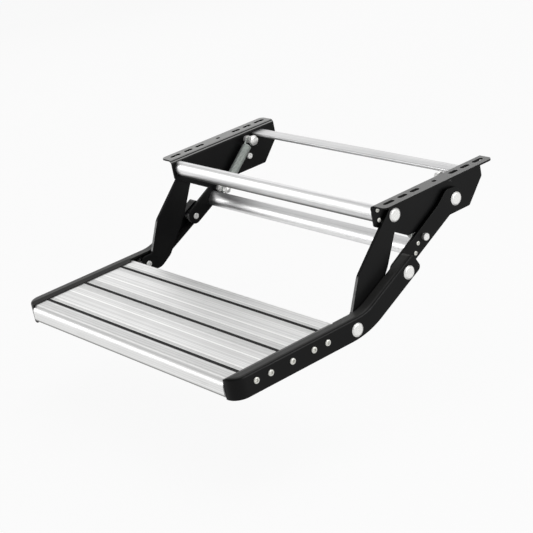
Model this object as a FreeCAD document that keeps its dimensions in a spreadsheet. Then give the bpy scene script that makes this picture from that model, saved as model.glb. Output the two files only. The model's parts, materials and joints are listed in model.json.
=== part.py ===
import FreeCAD, Part
import math
import os
import re
import Sketcher

os.makedirs("parts", exist_ok=True)

# Driving dimensions in millimetres. X is across, -Y is the stepping side, Z is up.
SIZES = {
    # brackets under the floor; their length runs from the slots that the floor's bolts set
    "plate_inset": 6,
    "sheet": 3,
    "bend_inside": 4,
    "flange_width": 35.5,
    "flange_front_end": 22.5,
    "flange_back_end": 19.5,
    "flange_corner": 9,
    "slot_out": 19,
    "slot_width": 9,
    "end_slot_y": 101,
    "end_slot_length": 22.5,
    "outer_slot_pitch": 30,
    "inner_slot_pitch": 27,
    "short_slot_length": 18.5,
    "centre_hole": 8,
    "plate_front_end": 1.3,
    "plate_back_end": 0.5,
    "plate_depth": 76,
    "plate_knee_depth": 36,
    "plate_front_slope": 65.8,
    "plate_back_slope": 36.5,
    "plate_corner": 4,
    # pivots of the linkage: A and B on the plates, C and D on the rails
    "pivot_a_inset": 38.8,
    "pivot_a_depth": 28.5,
    "pivot_b_inset": 72,
    "pivot_b_rise": 26,
    "front_arm_run": 132,
    "rear_arm_run": 143.5,
    "rear_arm_drop": 71.5,
    "pivot_d_rise": 28.5,
    "pivot_c_depth": 21,
    # front arm: kink and heel are measured back from pivot C, knee and shoulder from pivot A
    "arm_gap": 0.8,
    "arm_thickness": 6.5,
    "arm_edge_round": 0.8,
    "arm_top_radius": 14.5,
    "arm_top_cut": 7.2,
    "arm_top_round": 10,
    "arm_back_round": 7.2,
    "foot_radius": 16.2,
    "foot_round": 14,
    "toe_behind_c": 12,
    "toe_round": 7,
    "kink_before_c": 78.6,
    "kink_aside": 21,
    "kink_radius": 40,
    "sole_behind_c": 27,
    "heel_before_c": 33.9,
    "heel_aside": 38.1,
    "heel_radius": 24,
    "knee_along": 80.1,
    "knee_aside": 30.5,
    "knee_radius": 70,
    "shoulder_along": 23.6,
    "shoulder_aside": 15,
    "shoulder_radius": 30,
    # rear arm, measured from the line between its pivots
    "rear_arm_below_b": 12,
    "rear_arm_below_d": 14,
    "rear_arm_above": 21,
    "rear_arm_above_b": 14.7,
    "rear_arm_above_d": 15.7,
    "rear_arm_crest": 28,
    "rear_arm_crest_at": 6,
    "rear_arm_crest_run": 28,
    "rear_arm_crest_round": 56,
    "rear_arm_behind_b": 15,
    "rear_arm_beyond_d": 15,
    "rear_arm_round": 13,
    # rivets
    "rivet_radius": 5,
    "rivet_head_radius": 11.5,
    "rivet_head_height": 2.5,
    "rivet_head_edge": 0.8,
    "tail_lip": 0.7,
    "short_tail": 1.3,
    "long_tail": 4.5,
    "running_gap": 0.05,
    "face_gap": 0.2,
    "washer_radius": 12,
    "washer_height": 0.6,
    # side rails of the tread
    "tread_width": 560,
    "rail_cover": 26,
    "rail_wall": 3,
    "rail_top_wall": 3.9,
    "rail_flange_width": 20,
    "rail_height": 37,
    "rail_corner": 24,
    "rail_edge_round": 5,
    "lip_width": 10,
    "lip_edge": 0.8,
    "lip_short": 7,
    "tail_slope": 26.5,
    "tail_above": 19.3,
    "tail_below": 13.4,
    "tail_beyond_d": 24.6,
    "tail_corner": 8,
    "tail_top_bend": 70,
    "tail_bottom_bend": 150,
    "spacer_radius": 9,
    "spacer_gap": 0.3,
    # extruded tread
    "seat_gap": 0.3,
    "tread_depth": 224.5,
    "tread_before_c": 27,
    "nose_proud": 2.5,
    "nose_round": 12,
    "chin_round": 10,
    "tread_wall": 2.2,
    "tread_rib": 2,
    "port_depth": 16.5,
    "port_front_inset": 45,
    "port_back_inset": 35,
    "port_pitch": 28.5,
    "port_radius": 4.6,
    "strip_width": 6.4,
    "strip_height": 2.4,
    "strip_front_inset": 34.3,
    "strip_middle_inset": 114,
    "strip_back_inset": 30.7,
    "strip_proud": 0.4,
    "groove_margin": 2.6,
    "groove_pitch": 2.5,
    "groove_width": 1.6,
    "groove_depth": 0.7,
    "front_grooves_before": 9,
    "front_grooves_behind": 3,
    "middle_grooves_before": 5,
    "middle_grooves_behind": 6,
    "rear_grooves_before": 3,
    "rear_grooves_behind": 3,
    "rail_screw_radius": 2.2,
    "rail_screw_head_radius": 5.5,
    "rail_screw_head_height": 2.4,
    "rail_screw_length": 19,
    "pan_round_share": 0.8,
    "screw_tip": 0.7,
    # cross tubes of D section and the flat bar
    "tube_height": 28,
    "tube_side": 7.5,
    "tube_peak": 13,
    "tube_bow": 0.97,
    "tube_wall": 2,
    "tube_port_edge": 5.6,
    "front_tube_inset": 11.1,
    "front_tube_depth": 19.6,
    "lower_tube_beyond_bolt": 24.1,
    "lower_tube_tilt": 30,
    "tube_screw_radius": 2,
    "tube_screw_head_radius": 3.8,
    "tube_screw_head_height": 1.5,
    "tube_screw_length": 16,
    "bar_behind_bolt": 16,
    "bar_width": 25,
    "bar_depth": 15,
    "bar_height": 6,
    "bar_round": 2,
    "bar_screw_inset": 6.2,
    # springs and the bolts that hold them
    "spring_inset": 13.5,
    "spring_radius": 8,
    "spring_wire": 2.5,
    "spring_lead": 13,
    "hook_gap": 0.35,
    "upper_bolt_behind_b": 1,
    "upper_bolt_depth": 16.5,
    "lower_bolt_below_plate": 13.3,
    "lower_bolt_aside": -2.6,
    "bolt_radius": 4,
    "nut_across": 13,
    "nut_height": 6.8,
    "nut_to_spring": 5,
    "upper_head_across": 17,
    "upper_head_height": 8,
    "lower_head_radius": 6.4,
    "lower_head_height": 6,
    "bolt_tip": 1.5,
}

# Places that follow from the sizes. Names that end in _x are distances from the middle plane.
PLACES = {
    "plate_x": "tread_width / 2 - plate_inset",
    "plate_out": "plate_x + sheet",
    "arm_in": "plate_out + arm_gap",
    "arm_out": "arm_in + arm_thickness",
    "slot_x": "plate_x + slot_out",
    "spring_x": "plate_x - spring_inset",
    "lip_in": "tread_width / 2",
    "rail_outer_x": "lip_in + rail_cover",
    "web_in": "rail_outer_x - rail_wall",
    "middle_slot_y": "end_slot_y - outer_slot_pitch",
    "inner_slot_y": "middle_slot_y - inner_slot_pitch",
    "flange_front_y": "-end_slot_y - flange_front_end",
    "flange_back_y": "end_slot_y + flange_back_end",
    "plate_front_y": "flange_front_y - plate_front_end",
    "plate_back_y": "flange_back_y + plate_back_end",
    "plate_flat_front_y": "plate_front_y + plate_front_slope",
    "plate_flat_back_y": "plate_back_y - plate_back_slope",
    "pivot_a_y": "plate_front_y + pivot_a_inset",
    "pivot_a_z": "-pivot_a_depth",
    "pivot_b_y": "plate_back_y - pivot_b_inset",
    "pivot_b_z": "pivot_b_rise - plate_depth",
    "pivot_d_y": "pivot_b_y - rear_arm_run",
    "pivot_d_z": "pivot_b_z - rear_arm_drop",
    "rail_top_z": "pivot_d_z - pivot_d_rise",
    "rail_bottom_z": "rail_top_z - rail_height",
    "pivot_c_y": "pivot_a_y - front_arm_run",
    "pivot_c_z": "rail_top_z - pivot_c_depth",
    "front_reach": "hypot(pivot_c_y - pivot_a_y; pivot_c_z - pivot_a_z)",
    "rear_reach": "hypot(rear_arm_run; rear_arm_drop)",
    "tread_back_y": "pivot_c_y - tread_before_c",
    "tread_front_y": "tread_back_y - tread_depth",
    "tread_top_z": "rail_top_z - rail_top_wall - seat_gap",
    "rail_front_y": "tread_front_y + nose_proud",
    "lip_end_y": "tread_back_y - lip_short",
    "port_z": "rail_top_z - port_depth",
    "port_first_y": "tread_front_y + port_front_inset",
    "port_second_y": "port_first_y + port_pitch",
    "port_fifth_y": "tread_back_y - port_back_inset",
    "port_fourth_y": "port_fifth_y - port_pitch",
    "port_third_y": "(port_second_y + port_fourth_y) / 2",
    "strip_front_y": "tread_front_y + strip_front_inset",
    "strip_middle_y": "tread_front_y + strip_middle_inset",
    "strip_rear_y": "tread_back_y - strip_back_inset",
    "tube_front_radius": "tube_bow * hypot(tube_height / 2; tube_peak) * tube_height / 2 / tube_peak",
    "tube_port_spread": "tube_height / 2 - tube_port_edge",
    "front_tube_y": "plate_front_y + front_tube_inset",
    "front_tube_z": "-front_tube_depth",
    "lower_bolt_along": "(pivot_b_rise + lower_bolt_below_plate) * rear_reach / rear_arm_drop",
    "lower_tube_along": "lower_bolt_along + lower_tube_beyond_bolt",
    "upper_bolt_y": "pivot_b_y + upper_bolt_behind_b",
    "upper_bolt_z": "-upper_bolt_depth",
    "bar_front_y": "upper_bolt_y + bar_behind_bolt",
    "bar_back_y": "bar_front_y + bar_width",
    "bar_bottom_z": "-bar_depth",
    "rivet_tail_radius": "rivet_radius + tail_lip",
    "hook_radius": "bolt_radius + spring_wire / 2 + hook_gap",
    "far_side": "spring_x - nut_to_spring",
    "rail_stud_end": "arm_out + tube_screw_head_height + spacer_gap",
}

doc = FreeCAD.newDocument("CaravanStep")
sheet = doc.addObject("Spreadsheet::Sheet", "Sizes")
for row, (name, size) in enumerate(SIZES.items(), start=1):
    sheet.set(f"A{row}", name)
    sheet.set(f"B{row}", str(size))
    sheet.setAlias(f"B{row}", name)
doc.recompute()


def formula(text):
    """The text with each size turned into a reference to its cell, and each place to its own property."""

    def reference(word):
        name = word.group()
        if name in SIZES:
            return "Sizes." + name
        return "Places." + name if name in PLACES else name

    return re.sub(r"[a-z_][a-z_0-9]*", reference, str(text))


places = doc.addObject("App::VarSet", "Places")
for name, text in PLACES.items():
    places.addProperty("App::PropertyFloat", name)
    places.setExpression(name, formula(text))
doc.recompute()

SIDES = (("left", -1), ("right", 1))
ALONG_X = FreeCAD.Rotation(FreeCAD.Vector(0, 1, 0), 90)
NORMAL_SIGN = {"XY_Plane": 1, "XZ_Plane": -1, "YZ_Plane": 1}


def number(text):
    """What a formula comes to with the sizes as they are."""
    found = sheet.evalExpression(formula(text))
    return float(getattr(found, "Value", found))


def hold_point(sketch, shape, position, across, up):
    """Dimension a point of the sketch from the sketch's origin."""
    for kind, text in (("DistanceX", across), ("DistanceY", up)):
        place = sketch.addConstraint(Sketcher.Constraint(kind, -1, 1, shape, position, number(text)))
        sketch.setExpression(f"Constraints[{place}]", formula(text))


def hold_radius(sketch, shape, text):
    place = sketch.addConstraint(Sketcher.Constraint("Radius", shape, number(text)))
    sketch.setExpression(f"Constraints[{place}]", formula(text))


def outline(corners):
    """Closed outline through corners (across, up, radius); a corner with no radius stays sharp."""

    def draw(sketch):
        places = [FreeCAD.Vector(number(corner[0]), number(corner[1]), 0) for corner in corners]
        radii = [number(corner[2]) if len(corner) > 2 else 0 for corner in corners]
        count = len(corners)
        arrive, leave, middle, turn = [], [], [], []
        for place, radius, before, after in zip(
            places, radii, places[-1:] + places[:-1], places[1:] + places[:1]
        ):
            back = (before - place).normalize()
            ahead = (after - place).normalize()
            half = back.getAngle(ahead) / 2
            reach = radius / math.tan(half)
            arrive.append(place + back * reach)
            leave.append(place + ahead * reach)
            middle.append(place + (back + ahead).normalize() * (radius / math.sin(half)))
            turn.append(ahead.cross(back).z)
        lines = [
            sketch.addGeometry(Part.LineSegment(leave[i], arrive[(i + 1) % count])) for i in range(count)
        ]
        for i, corner in enumerate(corners):
            line_in, line_out = lines[i - 1], lines[i]
            if not radii[i]:
                sketch.addConstraint(Sketcher.Constraint("Coincident", line_in, 2, line_out, 1))
                hold_point(sketch, line_out, 1, corner[0], corner[1])
                continue
            circle_shape = Part.Circle(middle[i], FreeCAD.Vector(0, 0, 1), radii[i])
            first, last = (arrive[i], leave[i]) if turn[i] > 0 else (leave[i], arrive[i])
            arc = sketch.addGeometry(
                Part.ArcOfCircle(circle_shape, circle_shape.parameter(first), circle_shape.parameter(last))
            )
            near, far = (1, 2) if turn[i] > 0 else (2, 1)
            sketch.addConstraint(Sketcher.Constraint("Tangent", line_in, 2, arc, near))
            sketch.addConstraint(Sketcher.Constraint("Tangent", arc, far, line_out, 1))
            point = sketch.addGeometry(Part.Point(places[i]), True)
            sketch.addConstraint(Sketcher.Constraint("PointOnObject", point, 1, line_in))
            sketch.addConstraint(Sketcher.Constraint("PointOnObject", point, 1, line_out))
            hold_point(sketch, point, 1, corner[0], corner[1])
            hold_radius(sketch, arc, corner[2])

    return draw


def circle(across, up, radius):
    def draw(sketch):
        centre = FreeCAD.Vector(number(across), number(up), 0)
        shape = sketch.addGeometry(Part.Circle(centre, FreeCAD.Vector(0, 0, 1), number(radius)))
        hold_point(sketch, shape, 3, across, up)
        hold_radius(sketch, shape, radius)

    return draw


def slot(across, up, length, width):
    """Slot with round ends, along the sketch's second axis."""

    def draw(sketch):
        radius = number(width) / 2
        ends = [f"({up}) + {sign} * (({length}) - ({width})) / 2" for sign in (1, -1)]
        centres = [FreeCAD.Vector(number(across), number(end), 0) for end in ends]
        arcs = []
        for centre, start in zip(centres, (0, math.pi)):
            shape = Part.Circle(centre, FreeCAD.Vector(0, 0, 1), radius)
            arcs.append(sketch.addGeometry(Part.ArcOfCircle(shape, start, start + math.pi)))
        aside = FreeCAD.Vector(radius, 0, 0)
        left = sketch.addGeometry(Part.LineSegment(centres[0] - aside, centres[1] - aside))
        right = sketch.addGeometry(Part.LineSegment(centres[1] + aside, centres[0] + aside))
        sketch.addConstraint(Sketcher.Constraint("Tangent", arcs[0], 2, left, 1))
        sketch.addConstraint(Sketcher.Constraint("Tangent", left, 2, arcs[1], 1))
        sketch.addConstraint(Sketcher.Constraint("Tangent", arcs[1], 2, right, 1))
        sketch.addConstraint(Sketcher.Constraint("Tangent", right, 2, arcs[0], 1))
        sketch.addConstraint(Sketcher.Constraint("Equal", arcs[0], arcs[1]))
        hold_point(sketch, arcs[0], 3, across, ends[0])
        hold_point(sketch, arcs[1], 3, across, ends[1])
        hold_radius(sketch, arcs[0], f"({width}) / 2")

    return draw


def new_body(label):
    body = doc.addObject("PartDesign::Body", label)
    body.Label = label
    return body


def layer(body, plane, name, near, far, loops, side=1, cut=False):
    """Pad or pocket of the loops between two distances along the plane's normal."""
    sketch = body.newObject("Sketcher::SketchObject", name + "_sketch")
    base = next(item for item in body.Origin.OriginFeatures if item.Role == plane)
    sketch.AttachmentSupport = [(base, "")]
    sketch.MapMode = "FlatFace"
    middle = f"{side * NORMAL_SIGN[plane]} * (({near}) + ({far})) / 2"
    sketch.setExpression("AttachmentOffset.Base.z", formula(middle))
    for loop in loops:
        loop(sketch)
    feature = body.newObject("PartDesign::Pocket" if cut else "PartDesign::Pad", name)
    feature.Profile = sketch
    feature.SideType = "Symmetric"
    feature.setExpression("Length", formula(f"({far}) - ({near})"))
    doc.recompute()
    return feature


def turned(label, side, profile, across, up):
    """Piece turned about a line along X; its profile runs over (distance from the middle, radius)."""
    sketch = doc.addObject("Sketcher::SketchObject", label + "_sketch")
    outline([(f"{side} * ({corner[0]})",) + tuple(corner[1:]) for corner in profile])(sketch)
    piece = doc.addObject("Part::Revolution", label)
    piece.Source = sketch
    piece.Axis = (1, 0, 0)
    piece.Solid = True
    piece.setExpression("Placement.Base.y", formula(across))
    piece.setExpression("Placement.Base.z", formula(up))
    return piece


def rod(label, kind, side, near, far, across, up, **sizes):
    """Primitive that stands along X between two distances from the middle."""
    piece = doc.addObject(kind, label)
    piece.Placement.Rotation = FreeCAD.Rotation(FreeCAD.Vector(0, 1, 0), side * 90)
    piece.setExpression("Placement.Base.x", formula(f"{side} * ({near})"))
    piece.setExpression("Placement.Base.y", formula(across))
    piece.setExpression("Placement.Base.z", formula(up))
    piece.setExpression("Height", formula(f"({far}) - ({near})"))
    for key, text in sizes.items():
        piece.setExpression(key, formula(text))
    return piece


def joined(label, kind, pieces):
    """Fuse or compound of pieces, named as a sub-part."""
    group = doc.addObject(kind, label)
    group.Label = label
    if kind == "Part::Compound":
        group.Links = pieces
    else:
        group.Shapes = pieces
    return group


def drilled(label, solid, holes):
    """Solid with plain holes taken out."""
    cut = doc.addObject("Part::Cut", label)
    cut.Label = label
    cut.Base = solid
    cut.Tool = holes
    return cut


SCREW_YS = ("port_first_y", "port_second_y", "port_third_y", "port_fourth_y", "port_fifth_y")
RIVET_HOLE = "rivet_radius + running_gap"


def beside_line(start, end, reach, along, aside):
    """Place of a point that is given along the line between two pivots and square to it."""
    run = f"({end}_y - {start}_y)"
    rise = f"({end}_z - {start}_z)"
    y = f"({start}_y + (({along}) * {run} - ({aside}) * {rise}) / {reach})"
    z = f"({start}_z + (({along}) * {rise} + ({aside}) * {run}) / {reach})"
    return y, z


def on_front_arm(along, aside):
    return beside_line("pivot_a", "pivot_c", "front_reach", along, aside)


def on_rear_arm(along, aside):
    return beside_line("pivot_b", "pivot_d", "rear_reach", along, aside)


def along_rear_arm(y, z):
    """The same the other way round: along and square to the rear arm's pivot line."""
    along = f"((pivot_b_y - ({y})) * rear_arm_run + (pivot_b_z - ({z})) * rear_arm_drop) / rear_reach"
    aside = f"((pivot_b_z - ({z})) * rear_arm_run - (pivot_b_y - ({y})) * rear_arm_drop) / rear_reach"
    return along, aside


def tube_ports(y, z, tilt):
    """Places of a cross tube's two screw ports, above and below its middle."""
    return [
        (f"{y} + {sign} * tube_port_spread * sin({tilt})", f"{z} + {sign} * tube_port_spread * cos({tilt})")
        for sign in (1, -1)
    ]


LOWER_TUBE = on_rear_arm("lower_tube_along", "0")
LOWER_BOLT = on_rear_arm("lower_bolt_along", "lower_bolt_aside")
FRONT_PORTS = tube_ports("front_tube_y", "front_tube_z", "0")
LOWER_PORTS = tube_ports(*LOWER_TUBE, "lower_tube_tilt")
BAR_SCREWS = [
    (y, "bar_bottom_z + bar_height / 2")
    for y in ("bar_front_y + bar_screw_inset", "bar_back_y - bar_screw_inset")
]


# Mounting brackets: sheet folded outward at the top, trimmed to its outline, slotted and pierced
def mount_bracket(name, side):
    body = new_body(f"mount_bracket_{name}")
    section = [
        ("plate_x", "-plate_depth"),
        ("plate_x", "0", "bend_inside + sheet"),
        ("plate_x + flange_width", "0"),
        ("plate_x + flange_width", "-sheet"),
        ("plate_out", "-sheet", "bend_inside"),
        ("plate_out", "-plate_depth"),
    ]
    mirrored = [(f"{side} * ({corner[0]})",) + corner[1:] for corner in section]
    layer(body, "XZ_Plane", f"fold_{name}", "plate_front_y", "plate_back_y", [outline(mirrored)])
    around = [
        ("plate_front_y - sheet", "sheet"),
        ("plate_back_y + sheet", "sheet"),
        ("plate_back_y + sheet", "-plate_depth - sheet"),
        ("plate_front_y - sheet", "-plate_depth - sheet"),
    ]
    side_view = [
        ("plate_front_y", "sheet / 2"),
        ("plate_front_y", "-plate_knee_depth", "plate_corner"),
        ("plate_flat_front_y", "-plate_depth", "plate_corner"),
        ("plate_flat_back_y", "-plate_depth", "plate_corner"),
        ("plate_back_y", "-plate_knee_depth", "plate_corner"),
        ("plate_back_y", "sheet / 2"),
    ]
    layer(
        body, "YZ_Plane", f"side_trim_{name}", "plate_x - sheet", "plate_x + flange_width + sheet",
        [outline(around), outline(side_view)], side, cut=True,
    )
    flange_out = f"{side} * (plate_x + flange_width)"
    beyond = f"{side} * (plate_x + flange_width + sheet)"
    for end, y, sign in (("front", "flange_front_y", -1), ("back", "flange_back_y", 1)):
        corner = [
            (f"{side} * (plate_out + bend_inside)", f"{y} + {sign} * 2 * sheet"),
            (beyond, f"{y} + {sign} * 2 * sheet"),
            (beyond, f"{y} - {sign} * 2 * flange_corner"),
            (flange_out, f"{y} - {sign} * 2 * flange_corner"),
            (flange_out, y, "flange_corner"),
            (f"{side} * (plate_out + bend_inside)", y),
        ]
        layer(
            body, "XY_Plane", f"{end}_trim_{name}", "-bend_inside - 2 * sheet", "sheet", [outline(corner)],
            cut=True,
        )
    slots = [circle(f"{side} * slot_x", "0", "centre_hole / 2")]
    for y, length in (
        ("end_slot_y", "end_slot_length"),
        ("middle_slot_y", "short_slot_length"),
        ("inner_slot_y", "short_slot_length"),
    ):
        slots += [slot(f"{side} * slot_x", f"{sign} * {y}", length, "slot_width") for sign in (1, -1)]
    layer(body, "XY_Plane", f"slots_{name}", "-2 * sheet", "sheet", slots, cut=True)
    holes = [
        circle("pivot_a_y", "pivot_a_z", RIVET_HOLE),
        circle("pivot_b_y", "pivot_b_z", RIVET_HOLE),
        circle("upper_bolt_y", "upper_bolt_z", "bolt_radius + running_gap"),
    ]
    holes += [circle(y, z, "tube_screw_radius + running_gap") for y, z in FRONT_PORTS + BAR_SCREWS]
    layer(body, "YZ_Plane", f"holes_{name}", "plate_x - sheet", "plate_out + sheet", holes, side, cut=True)


FACES_SIDEWAYS = 0.99


def ease_rims(body, name):
    """Round the outline of a flat plate on both faces, and leave its pivot holes sharp."""
    plate = body.Tip
    rims = []
    for face in plate.Shape.Faces:
        if abs(face.normalAt(0, 0).x) > FACES_SIDEWAYS and isinstance(face.Surface, Part.Plane):
            rims += face.OuterWire.Edges
    names = [
        f"Edge{index}" for index, edge in enumerate(plate.Shape.Edges, start=1)
        if any(edge.isSame(rim) for rim in rims)
    ]
    eased = body.newObject("PartDesign::Fillet", name)
    eased.Base = (plate, names)
    eased.setExpression("Radius", formula("arm_edge_round"))
    doc.recompute()


# Front arms: bent plates, round head at the bracket and a foot that the tread turns on
def front_arm(name, side):
    body = new_body(f"front_arm_{name}")
    corners = [
        ("pivot_a_y - arm_top_cut", "pivot_a_z + arm_top_radius", "arm_top_round"),
        on_front_arm("front_reach - kink_before_c", "-kink_aside") + ("kink_radius",),
        ("pivot_c_y + toe_behind_c", "pivot_c_z + foot_radius", "toe_round"),
        ("pivot_c_y - foot_radius", "pivot_c_z + foot_radius", "foot_round"),
        ("pivot_c_y - foot_radius", "pivot_c_z - foot_radius", "foot_round"),
        ("pivot_c_y + sole_behind_c", "pivot_c_z - foot_radius", "heel_radius"),
        on_front_arm("front_reach - heel_before_c", "heel_aside") + ("heel_radius",),
        on_front_arm("knee_along", "knee_aside") + ("knee_radius",),
        on_front_arm("shoulder_along", "shoulder_aside") + ("shoulder_radius",),
        ("pivot_a_y + arm_top_radius", "pivot_a_z - arm_top_cut", "arm_back_round"),
        ("pivot_a_y + arm_top_radius", "pivot_a_z + arm_top_radius", "arm_top_round"),
    ]
    pivots = [circle(y, z, RIVET_HOLE) for y, z in (("pivot_a_y", "pivot_a_z"), ("pivot_c_y", "pivot_c_z"))]
    shapes = [outline(corners)] + pivots
    layer(body, "YZ_Plane", f"front_arm_plate_{name}", "arm_in", "arm_out", shapes, side)
    ease_rims(body, f"front_arm_rims_{name}")


# Rear arms: laid out along the line from pivot B to pivot D
def rear_arm(name, side):
    body = new_body(f"rear_arm_{name}")
    corners = [
        ("-rear_arm_behind_b", "rear_arm_below_b", "rear_arm_round"),
        ("rear_reach + rear_arm_beyond_d", "rear_arm_below_d", "rear_arm_round"),
        ("rear_reach + rear_arm_beyond_d", "-rear_arm_above_d", "rear_arm_round"),
        ("rear_arm_crest_at + rear_arm_crest_run", "-rear_arm_above", "rear_arm_crest_round"),
        ("rear_arm_crest_at", "-rear_arm_crest", "rear_arm_round"),
        ("-rear_arm_behind_b", "-rear_arm_above_b", "rear_arm_round"),
    ]
    holes = [circle(along, "0", RIVET_HOLE) for along in ("0", "rear_reach")]
    holes += [circle(*along_rear_arm(y, z), "tube_screw_radius + running_gap") for y, z in LOWER_PORTS]
    holes.append(circle("lower_bolt_along", "lower_bolt_aside", "bolt_radius + running_gap"))
    shapes = [outline(corners)] + holes
    layer(body, "YZ_Plane", f"rear_arm_plate_{name}", "arm_in", "arm_out", shapes, side)
    ease_rims(body, f"rear_arm_rims_{name}")
    body.Placement.Rotation = FreeCAD.Rotation(FreeCAD.Vector(1, 0, 0), 10)
    body.setExpression("Placement.Rotation.Angle", formula("atan2(-rear_arm_drop; -rear_arm_run)"))
    body.setExpression("Placement.Base.y", formula("pivot_b_y"))
    body.setExpression("Placement.Base.z", formula("pivot_b_z"))


def tail(along, above):
    """Place on the rail's tail, from pivot D along its slope and square to it."""
    y = f"pivot_d_y + ({along}) * cos(tail_slope) - ({above}) * sin(tail_slope)"
    z = f"pivot_d_z + ({along}) * sin(tail_slope) + ({above}) * cos(tail_slope)"
    return y, z


def tail_meets(level, above):
    """Corner where a line of the tail meets a level line of the rail."""
    along = f"(({level}) - pivot_d_z - ({above}) * cos(tail_slope)) / sin(tail_slope)"
    return tail(along, above)[0], level


# Side rails: channel that caps the tread's end, wraps its front corner and rises to pivot D
def tread_rail(name, side):
    body = new_body(f"tread_rail_{name}")
    hollow_top = "rail_top_z - rail_top_wall"
    hollow_bottom = "rail_bottom_z + rail_wall"
    silhouette = [
        ("rail_front_y", "rail_bottom_z"),
        ("rail_front_y", "rail_top_z"),
        tail_meets("rail_top_z", "tail_above") + ("tail_top_bend",),
        tail("tail_beyond_d", "tail_above"),
        tail("tail_beyond_d", "-tail_below"),
        tail_meets("rail_bottom_z", "-tail_below") + ("tail_bottom_bend",),
    ]
    layer(body, "YZ_Plane", f"rail_block_{name}", "lip_in", "rail_outer_x", [outline(silhouette)], side)
    front_corner = [
        (f"{side} * (lip_in - rail_wall)", "rail_front_y - rail_wall"),
        (f"{side} * (rail_outer_x + rail_wall)", "rail_front_y - rail_wall"),
        (f"{side} * (rail_outer_x + rail_wall)", "rail_front_y + 2 * rail_corner"),
        (f"{side} * rail_outer_x", "rail_front_y + 2 * rail_corner"),
        (f"{side} * rail_outer_x", "rail_front_y", "rail_corner"),
        (f"{side} * (lip_in - rail_wall)", "rail_front_y"),
    ]
    layer(
        body, "XY_Plane", f"rail_corner_{name}", "rail_bottom_z - rail_wall", "rail_top_z + rail_wall",
        [outline(front_corner)], cut=True,
    )
    block = body.Tip
    rim = body.newObject("PartDesign::Fillet", f"rail_rim_{name}")
    rim.Base = (block, rail_rim_edges(block.Shape))
    rim.setExpression("Radius", formula("rail_edge_round"))
    doc.recompute()
    tail_end = [
        tail("tail_beyond_d + rail_wall", "tail_above + rail_wall"),
        tail("tail_beyond_d - 2 * tail_corner", "tail_above + rail_wall"),
        tail("tail_beyond_d - 2 * tail_corner", "tail_above"),
        tail("tail_beyond_d", "tail_above") + ("tail_corner",),
        tail("tail_beyond_d", "-tail_below") + ("tail_corner",),
        tail("tail_beyond_d - 2 * tail_corner", "-tail_below"),
        tail("tail_beyond_d - 2 * tail_corner", "-tail_below - rail_wall"),
        tail("tail_beyond_d + rail_wall", "-tail_below - rail_wall"),
    ]
    layer(
        body, "YZ_Plane", f"tail_trim_{name}", "lip_in - rail_wall", "rail_outer_x + rail_wall",
        [outline(tail_end)], side, cut=True,
    )
    seat = [
        (f"{side} * (lip_in - rail_wall)", "rail_front_y + rail_wall"),
        (f"{side} * web_in", "rail_front_y + rail_wall", "rail_corner - rail_wall"),
        (f"{side} * web_in", "tread_back_y + rail_wall"),
        (f"{side} * (lip_in - rail_wall)", "tread_back_y + rail_wall"),
    ]
    layer(
        body, "XY_Plane", f"tread_seat_{name}", "rail_bottom_z - rail_wall", hollow_top, [outline(seat)],
        cut=True,
    )
    channel = [
        ("tread_back_y", hollow_bottom),
        ("tread_back_y", hollow_top),
        tail_meets(hollow_top, "tail_above - rail_top_wall") + ("tail_top_bend - rail_top_wall",),
        tail("tail_beyond_d + rail_wall", "tail_above - rail_top_wall"),
        tail("tail_beyond_d + rail_wall", "rail_wall - tail_below"),
        tail_meets(hollow_bottom, "rail_wall - tail_below") + ("tail_bottom_bend + rail_wall",),
    ]
    layer(
        body, "YZ_Plane", f"channel_{name}", "lip_in - rail_wall", "web_in", [outline(channel)], side,
        cut=True,
    )
    inner_strip = [
        (f"{side} * (lip_in - rail_wall)", "lip_end_y"),
        (f"{side} * (rail_outer_x - rail_flange_width)", "lip_end_y", "rail_wall"),
        (f"{side} * (rail_outer_x - rail_flange_width)", "pivot_d_y + 3 * tail_beyond_d"),
        (f"{side} * (lip_in - rail_wall)", "pivot_d_y + 3 * tail_beyond_d"),
    ]
    layer(
        body, "XY_Plane", f"inner_trim_{name}", "rail_bottom_z - rail_wall", "0", [outline(inner_strip)],
        cut=True,
    )
    fall = "(rail_top_wall - lip_edge) / lip_width"
    lip_slope = [
        (f"{side} * (lip_in - rail_wall)", "rail_top_z + rail_wall"),
        (f"{side} * (lip_in - rail_wall)", f"rail_top_z - {fall} * (lip_width + rail_wall)"),
        (f"{side} * (lip_in + lip_width)", "rail_top_z"),
        (f"{side} * (lip_in + lip_width)", "rail_top_z + rail_wall"),
    ]
    layer(
        body, "XZ_Plane", f"lip_slope_{name}", "rail_front_y - rail_wall", "lip_end_y + rail_wall",
        [outline(lip_slope)], cut=True,
    )
    holes = [circle(y, "port_z", "rail_screw_radius + running_gap") for y in SCREW_YS]
    holes.append(circle("pivot_c_y", "pivot_c_z", RIVET_HOLE))
    holes.append(circle("pivot_d_y", "pivot_d_z", RIVET_HOLE))
    layer(
        body, "YZ_Plane", f"rail_holes_{name}", "web_in - rail_wall", "rail_outer_x + rail_wall", holes,
        side, cut=True,
    )


SAME_PLACE = 0.01
STEEPEST_RIM = 0.7


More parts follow.
